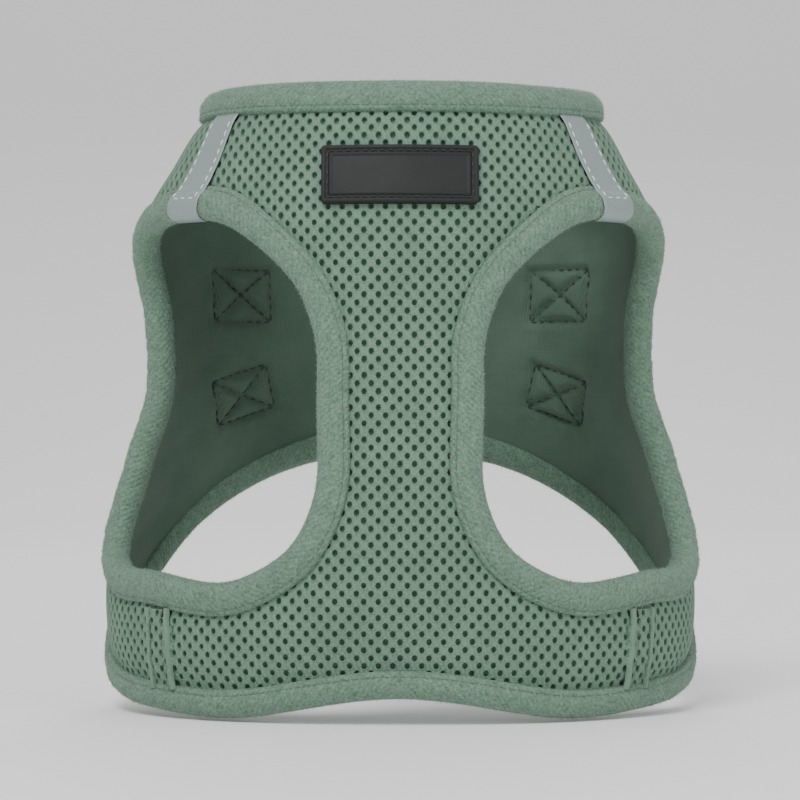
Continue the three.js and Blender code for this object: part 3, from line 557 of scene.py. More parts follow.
def box_place(arc, z, box):
    from_back = back_arc(z) - np.abs(arc) - box[0]
    rise = z - box[1]
    c, s = math.cos(math.radians(box[4])), math.sin(math.radians(box[4]))
    return from_back * c - rise * s, from_back * s + rise * c


def pucker(arc, z):
    lift = np.zeros_like(arc)
    for box in boxes:
        along, across = box_place(arc, z, box)
        half_along, half_across = box[2], box[3]
        outside = np.maximum(np.abs(along) - half_along, np.abs(across) - half_across)
        diagonal = np.abs(np.abs(along) * half_across - np.abs(across) * half_along)
        diagonal = diagonal / np.hypot(half_along, half_across)
        gap = np.where(outside < 0, np.minimum(np.abs(outside), diagonal), outside)
        lift += 1.5 * np.exp(-((gap / 1.05) ** 2))
        lift -= np.where(outside < 0, 0.85 * (1 - np.exp(-((gap / 1.6) ** 2))), 0)
        swirl = np.sin(9 * np.arctan2(across, along) + 0.4 * along)
        lift += np.where(outside > 0, 0.3 * swirl * np.exp(-((outside - 2) / 3.0) ** 2), 0)
    return lift


def crumple(arc, z):
    broad = np.sin(0.21 * arc + 0.13 * z) * np.sin(0.09 * arc - 0.17 * z)
    return 0.18 * broad + 0.1 * np.sin(0.5 * z + 0.31 * arc)


lining_knit = Finish("lining_knit", roughness=0.9, sheen=0.08)
along_cloth, across_cloth = lining_knit.cloth()
rib = along_cloth.wave(0.85) * 0.65 + across_cloth.wave(0.7) * 0.35
worn = lining_knit.noise(45, 5)
tone = (worn * 0.9 + rib * 0.35 - 0.2).clamp(0, 1)
lining_knit.colour(tone, (0.05, 0.092, 0.064), (0.115, 0.185, 0.135))
lining_knit.bump(rib + lining_knit.noise(1500, 3) * 0.6, 0.16, 0.8)


def lining_piece(name, keep):
    step = 1.0
    count = int(back_arc(girth_height) / step) + 2
    arcs = (np.arange(-count, count) + 0.5) * step
    heights = np.arange(0, body_height, step)
    grid_arc, grid_z = (g.ravel() for g in np.meshgrid(arcs, heights + step / 2))
    real = np.abs(grid_arc) < back_arc(grid_z)
    grid_arc, grid_z = grid_arc[real], grid_z[real]
    kept = keep(grid_arc, grid_z, angle_of(grid_arc, grid_z))
    centres = np.stack([grid_arc[kept], grid_z[kept]], -1)
    corner = np.array([(-0.5, -0.5), (0.5, -0.5), (0.5, 0.5), (-0.5, 0.5)]) * step
    flat = (centres[:, None] + corner).reshape(-1, 2)
    flat[:, 1] = np.minimum(flat[:, 1], body_height - 0.5)
    lift = lining_lift + pucker(flat[:, 0], flat[:, 1]) + crumple(flat[:, 0], flat[:, 1])
    points = on_form(angle_of(flat[:, 0], flat[:, 1]), flat[:, 1], lift)
    faces = np.arange(len(flat)).reshape(-1, 4)
    first, back = merged(flat * 1e3 / 20)
    piece = make_mesh(name, points[first], back[faces], [lining_knit], flat[first])
    cut = np.ptp(centres, axis=0) + step
    area = min(len(centres) * step * step, cut[0] * cut[1]) / 1e6
    return piece, {"flat": (cut[0] / 1000, cut[1] / 1000), "held": "stretched", "area": area}


chest_lining, chest_cut = lining_piece("chest_knit_lining", on_chest)
assign(chest_lining, "root", "lining", "chest_lining")
for side, word in ((1, "right"), (-1, "left")):
    wing_lining, wing_cut = lining_piece(f"{word}_wing_knit_lining", on_wing(side))
    bend_with_wing(wing_lining)
    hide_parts(f"{word}_wing_lining")


def stitch_row(line, normals, stitch, gap, radius, closed=False):
    """Separate stitches of thread along a line of points (metres); sizes in millimetres."""
    if closed:
        line = np.concatenate([line, line[:1]])
        normals = np.concatenate([normals, normals[:1]])
    stitch, gap, radius = stitch / 1000, gap / 1000, radius / 1000
    length = lengths(line)
    count = max(int(length[-1] / (stitch + gap)), 1)
    starts = (np.arange(count) + 0.5) * length[-1] / count - stitch / 2
    share = np.array([0, 0.08, 0.3, 0.5, 0.7, 0.92, 1])
    places = starts[:, None] + share * stitch
    centre = sample(places, length, line)
    normal = sample(places, length, normals)
    side = np.cross(unit(np.gradient(centre, axis=1)), normal)
    thick = radius * np.array([0.1, 0.75, 0.95, 1, 0.95, 0.75, 0.1])
    dip = -radius * np.array([1.6, 0.9, 0.1, 0, 0.1, 0.9, 1.6])
    turn = np.radians(np.arange(6) * 60.0)
    points = (
        centre[:, :, None]
        + side[:, :, None] * (np.cos(turn) * thick[:, None])[None, :, :, None]
        + normal[:, :, None] * (np.sin(turn) * thick[:, None] + dip[:, None])[None, :, :, None]
    )
    ring = np.arange(6)
    template = np.concatenate([
        np.stack([k * 6 + ring, k * 6 + (ring + 1) % 6, (k + 1) * 6 + (ring + 1) % 6, (k + 1) * 6 + ring], -1)
        for k in range(6)
    ])
    faces = (template[None] + (np.arange(count) * 42)[:, None, None]).reshape(-1, 4)
    return points.reshape(-1, 3), faces


def joined(parts):
    points, faces, total = [], [], 0
    for part_points, part_faces in parts:
        points.append(part_points)
        faces.append(part_faces + total)
        total += len(part_points)
    return np.concatenate(points), np.concatenate(faces)


def thread_finish(name, shade):
    finish = Finish(name, roughness=0.55, sheen=0.2)
    dark, light = (tuple(c * tone for c in shade) for tone in (0.8, 1.2))
    finish.colour(finish.noise(2200, 2), dark, light)
    return finish


dark_thread = thread_finish("dark_thread", (0.022, 0.036, 0.028))


def cloth_line(arc, z, lift):
    angle = angle_of(arc, z)
    line = on_form(angle, z, lift)
    return line, (on_form(angle, z, lift + 1) - line) * 1000


def box_runs(low, high, half, count, cross=True):
    """The four sides of a stitched box and its two diagonals, each as places along and across."""
    corners = [(low, -half), (high, -half), (high, half), (low, half)]
    pairs = [(0, 1), (1, 2), (2, 3), (3, 0)] + ([(0, 2), (1, 3)] if cross else [])
    share = np.linspace(0, 1, count)
    for begin, end in pairs:
        yield tuple(a + (b - a) * share for a, b in zip(corners[begin], corners[end]))


for side, word in ((1, "right"), (-1, "left")):
    rows = []
    for box_arc, height, half_along, half_across, slope in boxes:
        tilt = math.radians(slope)
        for along, across in box_runs(-half_along, half_along, half_across, 24):
            from_back = box_arc + along * math.cos(tilt) + across * math.sin(tilt)
            z = height - along * math.sin(tilt) + across * math.cos(tilt)
            line, normals = cloth_line(side * (back_arc(z) - from_back), z, lining_lift + 1.15)
            rows.append(stitch_row(line, -normals, 2.1, 0.7, 0.27))
    threads = make_mesh(f"{word}_strap_threads", *joined(rows), [dark_thread])
    assign(threads, f"{word}_wing", "lining")

# ---- Edge tapes: a soft napped tape folded over every cut edge and sewn through, so the edge is a plump
# rounded fold with a slanting rib in its nap. One tape round each armhole, one round each half's outer edge.
tape_pile = Finish("napped_tape", roughness=0.88, sheen=0.08)
along_cloth, across_cloth = tape_pile.cloth()
twill = (along_cloth + across_cloth * 0.8 + tape_pile.noise(160, 3) * 2.2).wave(1.75)
fluff = tape_pile.noise(420, 5)
tone = (twill * 0.14 + fluff * 0.7 + tape_pile.noise(1300, 3) * 1.7 - 0.78).clamp(0, 1)
tape_pile.colour(tone, (0.075, 0.135, 0.092), (0.2, 0.32, 0.235))
tape_pile.bump(twill * 0.35 + fluff * 0.8 + tape_pile.noise(1900, 3) * 1.3, 0.3, 0.95)
nap_fibre = Finish("tape_nap_fibre", roughness=0.8)
nap_fibre.colour(nap_fibre.noise(900, 2), (0.12, 0.2, 0.145), (0.38, 0.52, 0.42))
tape_leg = 9.6
tape_section = np.array([
    (9.6, -1.3), (9.55, -0.35), (9.2, 0.35), (8.6, 0.6), (8.05, 0.72), (7.4, 1.1), (6.5, 1.5), (5.4, 1.72),
    (4.2, 1.78), (3.0, 1.62), (1.9, 1.2), (1.0, 0.5), (0.4, -0.4), (0.08, -1.4), (0, -2.4), (0.1, -3.4),
    (0.45, -4.35), (1.1, -5.2), (2.0, -5.85), (3.1, -6.2), (4.4, -6.32), (5.8, -6.25), (7.0, -6.0),
    (8.0, -5.55), (8.8, -5.4), (9.3, -5.1), (9.6, -4.4),
])
pile_random = np.random.default_rng(23)


def grid_quads(rows, columns, start=0):
    """The faces of a grid of points stored row by row."""
    index = np.arange(rows * columns).reshape(rows, columns) + start
    return np.stack([index[:-1, :-1], index[:-1, 1:], index[1:, 1:], index[1:, :-1]], -1).reshape(-1, 4)


def folded_tape(name, path, closed, inward_sign, reach):
    """The fold swept along a free edge, its nap of short fibres, and the row of stitches that holds it."""
    base = on_form(path[:, 0], path[:, 1], 0)
    tangent = np.roll(base, -1, 0) - np.roll(base, 1, 0) if closed else np.gradient(base, axis=0)
    tangent = unit(tangent)
    _, _, _, around, up = form_frame(path[:, 0], path[:, 1])
    around_size = np.linalg.norm(around, axis=1)
    up_size = np.linalg.norm(up, axis=1)
    inward = np.cross(unit(np.cross(around, up)), tangent) * inward_sign
    inward_around = (inward * around).sum(1) / around_size
    inward_up = (inward * up).sum(1) / up_size
    run = lengths(base) * 1000
    depth = tape_section[:, 0][None] * (reach / tape_leg)[:, None]
    round_once = 2 * math.pi / (run[-1] + (run[1] if closed else 0))
    waves = [run[:, None] * (round_once * round(rate / round_once)) for rate in (0.9, 0.37, 2.1)]
    lump = 0.16 * np.sin(waves[0] + depth * 0.7) * np.sin(waves[1] + 1.0)
    lump = lump + 0.12 * np.sin(waves[2] + depth * 1.6)
    swell = np.where(tape_section[:, 1] > -2.4, 1, -1) * np.exp(-(((tape_section[:, 0] - 4.5) / 3.2) ** 2))
    angle = path[:, 0][:, None] + np.degrees(depth * (inward_around / around_size)[:, None])
    z = path[:, 1][:, None] + depth * (inward_up / up_size)[:, None]
    grid = on_form(angle, z, tape_section[:, 1][None] + lump * swell[None])
    stitch_points = grid[:, 4]
    stitch_normals = unit(np.cross(grid[:, 5] - grid[:, 3], tangent) * -inward_sign)
    across = lengths(tape_section)
    if closed:
        grid = np.concatenate([grid, grid[:1]])
        tangent = np.concatenate([tangent, tangent[:1]])
        run = np.append(run, run[-1] + run[1])
    rows, columns = grid.shape[:2]
    uvs = np.stack([np.repeat(run, columns), np.tile(across, rows)], -1)
    faces = grid_quads(rows, columns)[:, [0, 3, 2, 1]]
    points = grid.reshape(-1, 3)
    middle = np.repeat(grid.mean(1)[:-1], columns - 1, axis=0)
    away = points[faces].mean(1) - middle
    a, b, d = (points[faces[:, k]] for k in (0, 1, 3))
    if (np.cross(b - a, d - a) * away).sum() < 0:
        faces = faces[:, [0, 3, 2, 1]]
    a, b, d = (points[faces[:, k]] for k in (0, 1, 3))
    face_normal = np.cross(b - a, d - a)
    area = np.linalg.norm(face_normal, axis=1)
    per_mm2 = 2.4
    total = int(area.sum() * 1e6 * per_mm2)
    chosen = pile_random.choice(len(faces), total, p=area / area.sum())
    s, t = pile_random.random((2, total, 1))
    root = a[chosen] + (b - a)[chosen] * s + (d - a)[chosen] * t
    out = face_normal[chosen] / area[chosen, None]
    lean = pile_random.normal(0, 0.55, (total, 3))
    way = unit(out + lean + tangent[chosen // (columns - 1) % rows] * 0.35)
    wide = unit(np.cross(way, pile_random.normal(0, 1, (total, 3)))) * 0.06 / 1000
    long = pile_random.uniform(0.3, 0.85, (total, 1)) / 1000
    root = root - out * 0.00005
    tips = root + way * long
    fibre_points = [root - wide, root + wide, tips + wide * 0.3, tips - wide * 0.3]
    fibre_points = np.stack(fibre_points, 1).reshape(-1, 3)
    fibre_uvs = np.repeat(uvs[faces[chosen, 0]], 4, axis=0)
    fibre_faces = np.arange(total * 4).reshape(-1, 4) + len(points)
    piece = make_mesh(
        name, np.concatenate([points, fibre_points]), np.concatenate([faces, fibre_faces]),
        [tape_pile, nap_fibre], np.concatenate([uvs, fibre_uvs]), np.repeat([0, 1], [len(faces), total]),
    )
    return piece, stitch_points, stitch_normals


def corner_run(*ends):
    share = np.linspace(0, 1, 20)[1:-1, None]
    start, corner, end = (np.array(point) for point in ends)
    flat = (1 - share) ** 2 * start + 2 * share * (1 - share) * corner + share**2 * end
    return np.stack([back_place(flat[:, 0], flat[:, 1]), flat[:, 1]], -1)


def back_place(from_back, z):
    """Form angle at a cloth distance from the centre of the back, positive on the right wing."""
    return angle_of(back_arc(z) - from_back, z)


corner_cut = 13.0
past_corner = back_split + corner_cut
neck_end = float(back_place(past_corner, body_height))
back_heights = np.linspace(body_height - corner_cut, back_hem + corner_cut, 60)
hem_end = float(back_place(past_corner, back_hem))
hem_angles = np.linspace(hem_end, 0, 300)
neck_low, hem_up = body_height - corner_cut, back_hem + corner_cut
edge_path = np.concatenate([
    np.stack([np.linspace(0, neck_end, 200), np.full(200, body_height)], -1),
    corner_run((past_corner, body_height), (back_split, body_height), (back_split, neck_low)),
    np.stack([back_place(back_split, back_heights), back_heights], -1),
    corner_run((back_split, hem_up), (back_split, back_hem), (past_corner, float(hem_height(hem_end)))),
    np.stack([hem_angles, hem_height(hem_angles)], -1),
])
edge_steps = 420
edge_path = even(edge_path, edge_steps)
edge_reach = np.where(np.arange(edge_steps) < 230, tape_leg, 8.3)
edge_reach = np.convolve(np.pad(edge_reach, 10, "edge"), np.ones(21) / 21, "valid")
tape_thread = thread_finish("tape_thread", (0.08, 0.13, 0.095))
for side, word in ((1, "right"), (-1, "left")):
    mirror = np.array([side, 1])
    outer, *outer_seam = folded_tape(f"{word}_edge_tape", edge_path * mirror, False, -side, edge_reach)
    bend_with_wing(outer)
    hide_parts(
        "neck_binding_front", "hem_binding_front", f"neck_binding_{word}", f"hem_binding_{word}",
        f"back_edge_binding_{word}",
    )
    rear = int(np.argmax(armhole_line[:, 0]))
    turned = np.roll(armhole_line, -rear, 0)
    hole = even(np.concatenate([turned, turned[:1]]), 301)[:-1]
    hole_reach = np.full(300, tape_leg)
    loop, *loop_seam = folded_tape(f"{word}_armhole_tape", hole * mirror, True, side, hole_reach)
    bend_with_wing(loop)
    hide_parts(f"armhole_binding_{word}_front", f"armhole_binding_{word}_rear")
    rows = [stitch_row(*outer_seam, 2.2, 0.6, 0.16), stitch_row(*loop_seam, 2.2, 0.6, 0.16, True)]
    seam = make_mesh(f"{word}_tape_threads", *joined(rows), [tape_thread])
    bend_with_wing(seam)

# ---- Reflective strips: thin glass-bead tape sewn flat on each shoulder, tucked under the neck tape above
# and wrapped over the armhole tape below. White thread runs down both long edges and across the lower end.
def slab(centre, normals, half, uvs=None):
    """A closed sheet of changing half thickness (millimetres) round a grid of middle points (metres)."""
    rows, columns = centre.shape[:2]
    reach = normals * (half / 1000)[..., None]
    points = np.concatenate([(centre + reach).reshape(-1, 3), (centre - reach).reshape(-1, 3)])
    count = rows * columns
    index = np.arange(count).reshape(rows, columns)
    top = grid_quads(rows, columns)
    rim = np.concatenate([index[0, :-1], index[:-1, -1], index[-1, :0:-1], index[:0:-1, 0]])
    after = np.roll(rim, -1)
    sides = np.stack([rim, rim + count, after + count, after], -1)
    flat = uvs.reshape(-1, 2) if uvs is not None else np.zeros((count, 2))
    return points, np.concatenate([top, top[:, ::-1] + count, sides]), np.concatenate([flat, flat])


def round_edges(rows, columns, width, half, radius):
    """Half thickness over a grid that falls away in a rounded edge at both sides."""
    gap = width / 2 - np.abs(np.linspace(-width / 2, width / 2, columns))
    fall = np.sqrt(np.clip(1 - (1 - np.clip(gap / radius, 0, 1)) ** 2, 0.02, 1))
    return np.ones((rows, 1)) * fall * half


bead_tape = Finish("reflective_tape", roughness=0.42, metallic=0.15)
glint = bead_tape.noise(3800, 1)
tone = glint * 0.7 + bead_tape.noise(60, 3) * 0.3
bead_tape.colour(tone, (0.2, 0.26, 0.25), (0.31, 0.375, 0.365))
bead_tape.bump(glint + bead_tape.noise(500, 4) * 2, 0.06, 0.5)
white_thread = thread_finish("white_thread", (0.8, 0.84, 0.82))
strip_width = 12.0
strip_rows = np.array([
    (33.8, -0.3), (32.4, 0.1), (31, 0.45), (29.4, 0.6), (27, 0.6), (24, 0.6), (21, 0.6), (18, 0.6),
    (15, 0.62), (12.5, 0.68), (11, 0.75), (9.9, 0.9), (9.0, 1.05), (8.0, 1.25), (7.3, 1.6), (6.4, 1.93),
    (5.3, 2.12), (4.2, 2.18), (3.0, 2.03), (1.9, 1.63), (0.95, 0.9), (0.2, -0.05), (-0.2, -1.1),
    (-0.36, -2.3), (-0.26, -3.4),
])
strip_stitch = 0.0003
columns = 25
for side, word in ((1, "right"), (-1, "left")):
    share = np.clip(strip_rows[:, 0] / 33.0, 0, 1)
    middle = 55.4 + 1.4 * share
    taper = 1.1 - 0.2 * share[:, None]
    sideways = np.linspace(-strip_width / 2, strip_width / 2, columns)[None] * taper
    _, _, _, around, up = form_frame(middle, armhole_top + strip_rows[:, 0])
    rise = strip_rows[:, 0] / np.linalg.norm(up, axis=1)
    angle = middle[:, None] + np.degrees(sideways / np.linalg.norm(around, axis=1)[:, None])
    z = np.repeat(armhole_top + rise[:, None], columns, axis=1)
    ripple = 0.08 * np.sin(strip_rows[:, :1] * 1.4) * np.cos(sideways * 0.9)
    centre = on_form(angle * side, z, strip_rows[:, 1:2] + ripple)
    normals = unit(np.cross(np.gradient(centre, axis=1), np.gradient(centre, axis=0)) * -side)
    half = round_edges(len(strip_rows), columns, strip_width, 0.2, 0.35)
    points, faces, _ = slab(centre, normals, half)
    strip = make_mesh(f"{word}_reflective_tape", points, faces, [bead_tape])
    assign(strip, "root", "reflective", f"reflective_strip_{word}")
    inner, outer, cross_row = 3, columns - 4, 16
    long_seam = range(2, cross_row + 1)
    seams = [(long_seam, inner, 2.0), (long_seam, outer, 2.0), (cross_row, range(inner, outer + 1), 1.9)]
    rows = []
    for row, column, stitch in seams:
        way = normals[row, column]
        rows.append(stitch_row(centre[row, column] + way * strip_stitch, way, stitch, 0.75, 0.19))
    threads = make_mesh(f"{word}_reflective_threads", *joined(rows), [white_thread])
    assign(threads, "root", "reflective")

# ---- Lap seams: the belly band's side seam on each side of the chest, a strip of the same mesh laid over
# the join, turned under along both long edges and sewn down between the hem tape and the armhole tape.
lap_angle = 52.5
lap_half = 3.9


def lap_offset(arc, z):
    return np.abs(arc) - arc_of(lap_angle, z)


def on_lap(side):
    def keep(arc, z, angle):
        tall = (z > hem_height(lap_angle) + 4) & (z < armhole_bottom - 7.5)
        return (np.abs(lap_offset(arc, z)) < lap_half + 0.2) & tall & (np.sign(arc) == side)
    return keep


def lap_lift(arc, z):
    return 1.25 * np.clip(1 - (np.abs(lap_offset(arc, z)) / (lap_half + 1.2)) ** 8, 0, 1)


for side, word in ((1, "right"), (-1, "left")):
    lap = mesh_cells(f"{word}_lap_mesh", on_lap(side), lap_lift)
    heights = np.linspace(hem_height(lap_angle) + 7.2, armhole_bottom - 7.8, 44)
    lap_rolls, rows = [], []
    for edge in (-1, 1):
        across = np.linspace(-1, 1, 9)
        middle = arc_of(lap_angle, heights) + edge * lap_half
        wander = 0.15 * np.sin(heights * 0.8 + edge)
        arc = (middle + wander)[:, None] + across[None] * 1.0
        roll_z = np.broadcast_to(heights[:, None], arc.shape)
        lift = 0.2 + 1.2 * np.sqrt(np.clip(1 - across**2, 0, 1))[None] + np.zeros_like(arc)
        grid = on_form(angle_of(arc, roll_z) * side, roll_z, lift)
        lap_rolls.append((grid.reshape(-1, 3), grid_quads(*grid.shape[:2])))
        line, normals = cloth_line(side * (middle - edge * 1.5), heights, 1.5)
        rows.append(stitch_row(line, normals, 2.0, 0.7, 0.15))
    rolled = make_mesh(f"{word}_lap_edges", *joined(lap_rolls), [mesh_yarn])
    threads = make_mesh(f"{word}_lap_threads", *joined(rows), [tape_thread])
    assign(lap, "root", "mesh", f"lap_seam_strip_{word}")
    assign(rolled, "root", "mesh", f"lap_seam_strip_{word}")
    assign(threads, "root", "mesh")

# ---- Rubber patch: one moulded soft patch, a raised rim round a sewing channel and a blank raised field,
# sewn through the channel to the chest with dark thread. It bends with the chest's curve.
patch_size = (44.6, 17.6)
patch_centre = body_height - 28.3
rubber = Finish("moulded_rubber", roughness=0.5)
rubber.shader.inputs["Specular IOR Level"].default_value = 0.3
grain = rubber.noise(1400, 3)
tone = grain * 0.5 + rubber.noise(40, 3) * 0.5
rubber.colour(tone, (0.011, 0.0122, 0.0125), (0.019, 0.0205, 0.021))
rubber.use("Roughness", rubber.noise(120, 4) * 0.2 + 0.5)
rubber.bump(grain + rubber.noise(90, 2), 0.07, 0.5)
patch_profile = np.array([
    (0, 0.3), (0.02, 1.5), (0.12, 1.95), (0.35, 2.2), (0.7, 2.28), (1.15, 2.26), (1.35, 2.1), (1.5, 1.72),
    (2.2, 1.66), (2.35, 1.95), (2.6, 2.22), (3.0, 2.26), (3.3, 2.12), (3.45, 1.95), (30, 1.95),
])
half_u, half_v = patch_size[0] / 2, patch_size[1] / 2
spacing = 0.22
u, v = np.meshgrid(*(np.arange(-half, half + 0.01, spacing) for half in (half_u, half_v)))
corner_radius = 1.3
reach_u = np.maximum(np.abs(u) - (half_u - corner_radius), 0)
reach_v = np.maximum(np.abs(v) - (half_v - corner_radius), 0)
past = np.hypot(reach_u, reach_v)
pull = np.where(past > corner_radius, corner_radius / np.maximum(past, 1e-6), 1)
u = np.sign(u) * (np.minimum(np.abs(u), half_u - corner_radius) + reach_u * pull)
v = np.sign(v) * (np.minimum(np.abs(v), half_v - corner_radius) + reach_v * pull)
inset = np.minimum(half_u - np.abs(u), half_v - np.abs(v))
inset = np.where((reach_u > 0) & (reach_v > 0), corner_radius - np.minimum(past, corner_radius), inset)
lift = np.interp(inset, patch_profile[:, 0], patch_profile[:, 1])
_, _, _, _, up = form_frame(0.0, patch_centre)
patch_z = patch_centre + v / np.linalg.norm(up)
grid = on_form(angle_of(u, patch_z), patch_z, lift)
patch = make_mesh("rubber_name_patch", grid.reshape(-1, 3), grid_quads(*grid.shape[:2]), [rubber])
assign(patch, "root", "rubber", "rubber_patch")
channel = 1.85
rows = []
for side_u, side_v in box_runs(channel - half_u, half_u - channel, half_v - channel, 80, cross=False):
    line, normals = cloth_line(side_u, patch_centre + side_v / np.linalg.norm(up), 1.86)
    rows.append(stitch_row(line, normals, 1.7, 0.65, 0.2))
black_thread = thread_finish("black_thread", (0.02, 0.021, 0.022))
patch_threads = make_mesh("patch_threads", *joined(rows), [black_thread])
assign(patch_threads, "root", "rubber")

# ---- Back closure: a loop tape sewn on the left wing, a hook tape under a padded flap of the right wing,
# which laps over the centre of the back. The flap is cloth, turned under and stitched round its edge.
def back_slab(s_low, s_high, z_low, z_high, lift, half, corner, finish, name, spacing=1.0, bump=0.0):
    count_s = int((s_high - s_low) / spacing) + 1
    count_z = int((z_high - z_low) / spacing) + 1
    s, z = np.meshgrid(np.linspace(s_low, s_high, count_s), np.linspace(z_low, z_high, count_z))
    mid_s, mid_z = (s_low + s_high) / 2, (z_low + z_high) / 2
    half_s, half_z = (s_high - s_low) / 2, (z_high - z_low) / 2
    over_s = np.maximum(np.abs(s - mid_s) - (half_s - corner), 0)
    over_z = np.maximum(np.abs(z - mid_z) - (half_z - corner), 0)
    past = np.maximum(np.hypot(over_s, over_z), 1e-6)
    pull = np.minimum(np.maximum(over_s, over_z) / past, 1)
    s = mid_s + np.sign(s - mid_s) * (np.minimum(np.abs(s - mid_s), half_s - corner) + over_s * pull)
    z = mid_z + np.sign(z - mid_z) * (np.minimum(np.abs(z - mid_z), half_z - corner) + over_z * pull)
    edge = np.minimum(half_s - np.abs(s - mid_s), half_z - np.abs(z - mid_z))
    centre = on_form(back_place(s, z), z, lift(s, z) + bump * np.sin(s * 0.5 + z * 0.3) * np.sin(z * 0.23))
    normals = unit(np.cross(np.gradient(centre, axis=1), np.gradient(centre, axis=0)))
    normals = normals * np.sign((normals * (centre - np.array([0, 0, 0.1]))).sum(2, keepdims=True))
    fall = np.sqrt(np.clip(1 - (1 - np.clip(edge / (half * 1.6), 0, 1)) ** 2, 0.03, 1))
    points, faces, uvs = slab(centre, normals, half * fall, np.stack([s, z], -1))
    piece = make_mesh(name, points, faces, [finish], uvs)
    return piece


hook_pile = Finish("hook_and_loop", roughness=0.92)
along_cloth, across_cloth = hook_pile.cloth()
tufts = along_cloth.wave(0.9) * across_cloth.wave(0.9)
tone = (tufts * 0.6 + hook_pile.noise(900, 3) * 0.6).clamp(0, 1)
hook_pile.colour(tone, (0.035, 0.055, 0.042), (0.09, 0.125, 0.1))
hook_pile.bump(tufts + hook_pile.noise(1600, 2), 0.45, 1.0)
flap_bottom, flap_top = 91.0, 167.0
flap_reach, flap_root = -25.9, 15.0
tape_span = (-24.9, -11.9)
loop = back_slab(*tape_span, 84, 172, lambda s, z: 1.25 + 0 * s, 0.42, 1.2, hook_pile, "loop_tape")
assign(loop, "left_wing", "closure_tape", "loop_tape")
hook = back_slab(*tape_span, 92, 166, lambda s, z: 2.85 + 0 * s, 0.4, 1.2, hook_pile, "hook_tape")
assign(hook, "right_wing", "closure_tape", "hook_tape")


def flap_lift(s, z):
    sewn = np.clip((s - 7.5) / 6.5, 0, 1)
    return 4.25 - 2.1 * sewn * sewn * (3 - 2 * sewn)


flap = back_slab(
    flap_reach, flap_root, flap_bottom, flap_top, flap_lift, 0.6, 5.0, tape_pile, "closure_flap", 0.9, 0.1
)
assign(flap, "right_wing", "binding", "closure_flap")


def rounded_loop(s_low, s_high, z_low, z_high, corner, count):
    corners = [(s_high - corner, z_high - corner, 0), (s_low + corner, z_high - corner, 90),
               (s_low + corner, z_low + corner, 180), (s_high - corner, z_low + corner, 270)]
    line = [(cs + corner * math.cos(math.radians(a)), cz + corner * math.sin(math.radians(a)))
            for cs, cz, start in corners for a in np.linspace(start, start + 90, 8)]
    line = np.array(line + [line[0]])
    length = lengths(line)
    return sample(np.linspace(0, length[-1], count), length, line)


rows = []
for margin in (2.4, 4.6):
    s, z = rounded_loop(
        flap_reach + margin, flap_root - margin, flap_bottom + margin, flap_top - margin, 3.5, 300
    ).T
    line, normals = cloth_line(back_arc(z) - s, z, flap_lift(s, z) + 0.7)
    rows.append(stitch_row(line, normals, 2.2, 0.7, 0.22))
flap_threads = make_mesh("flap_threads", *joined(rows), [dark_thread])
assign(flap_threads, "right_wing", "binding")

# ---- Webbing: flat woven nylon, each strap sewn down on a wing with a stitched box and cross, taken round
# its bar and sewn back on itself. Wide ones hold the buckle's halves, narrow ones hold the two rings.
webbing_weave = Finish("nylon_webbing", roughness=0.62, sheen=0.2)
along_cloth, across_cloth = webbing_weave.cloth()
chevron = across_cloth._math("PINGPONG", across_cloth, 2.2)
weave = (along_cloth + chevron * 1.1).wave(1.05) * 0.7 + across_cloth.wave(0.55) * 0.3
tone = (weave * 0.7 + webbing_weave.noise(300, 3) * 0.4).clamp(0, 1)
webbing_weave.colour(tone, (0.06, 0.092, 0.07), (0.135, 0.185, 0.145))
webbing_weave.bump(weave + webbing_weave.noise(2000, 2) * 0.3, 0.22, 0.9)
webbing_thick = 1.2
webbing_lift = 1.0
touch = 0.3


def back_frame(arc, height, lift, slope):
    """Origin and axes on the right wing: x towards the centre of the back, z standing off the face."""
    t, a, b, around, up = form_frame(back_place(float(arc), float(height)), height)
    normal = unit(np.cross(around, up))
    origin = np.array([a * np.sin(t), -b * np.cos(t), height]) + normal * lift
    x = unit(around) * math.cos(math.radians(slope)) + unit(up) * math.sin(math.radians(slope))
    if slope == 0:
        normal = unit(normal * (1, 1, 0))
    y = unit(np.cross(normal, x))
    return origin, np.stack([np.cross(y, normal), y, normal])


def from_frame(frame_at, local, side):
    origin, axes = frame_at
    world = (origin + local @ axes) / 1000
    return world * np.array([side, 1, 1])


def strap_path(frame_at, slope, arc, height, bar, bar_radius):
    origin, axes = frame_at
    under = []
    c, s = math.cos(math.radians(slope)), math.sin(math.radians(slope))
    for move in np.linspace(-11, 11, 15):
        angle, z = shift(float(back_place(float(arc), float(height))), height, move * c, move * s)
        point = on_form(angle, z, webbing_lift + webbing_thick / 2) * 1000
        local = axes @ (point - origin)
        under.append((local[0], local[2]))
    under = np.array(under)
    radius = bar_radius + touch + webbing_thick / 2
    over = (under + np.array([0, webbing_thick + touch * 0.5]))[::-1]

    def tangent(point, way):
        gap = point - bar
        return math.atan2(gap[1], gap[0]) + way * math.acos(radius / np.hypot(*gap))

    turn = np.linspace(tangent(under[-1], 1), tangent(over[0], -1) + 2 * math.pi, 22)
    arc_points = np.stack([bar[0] + radius * np.cos(turn), bar[1] + radius * np.sin(turn)], -1)
    return np.concatenate([under, arc_points, over])


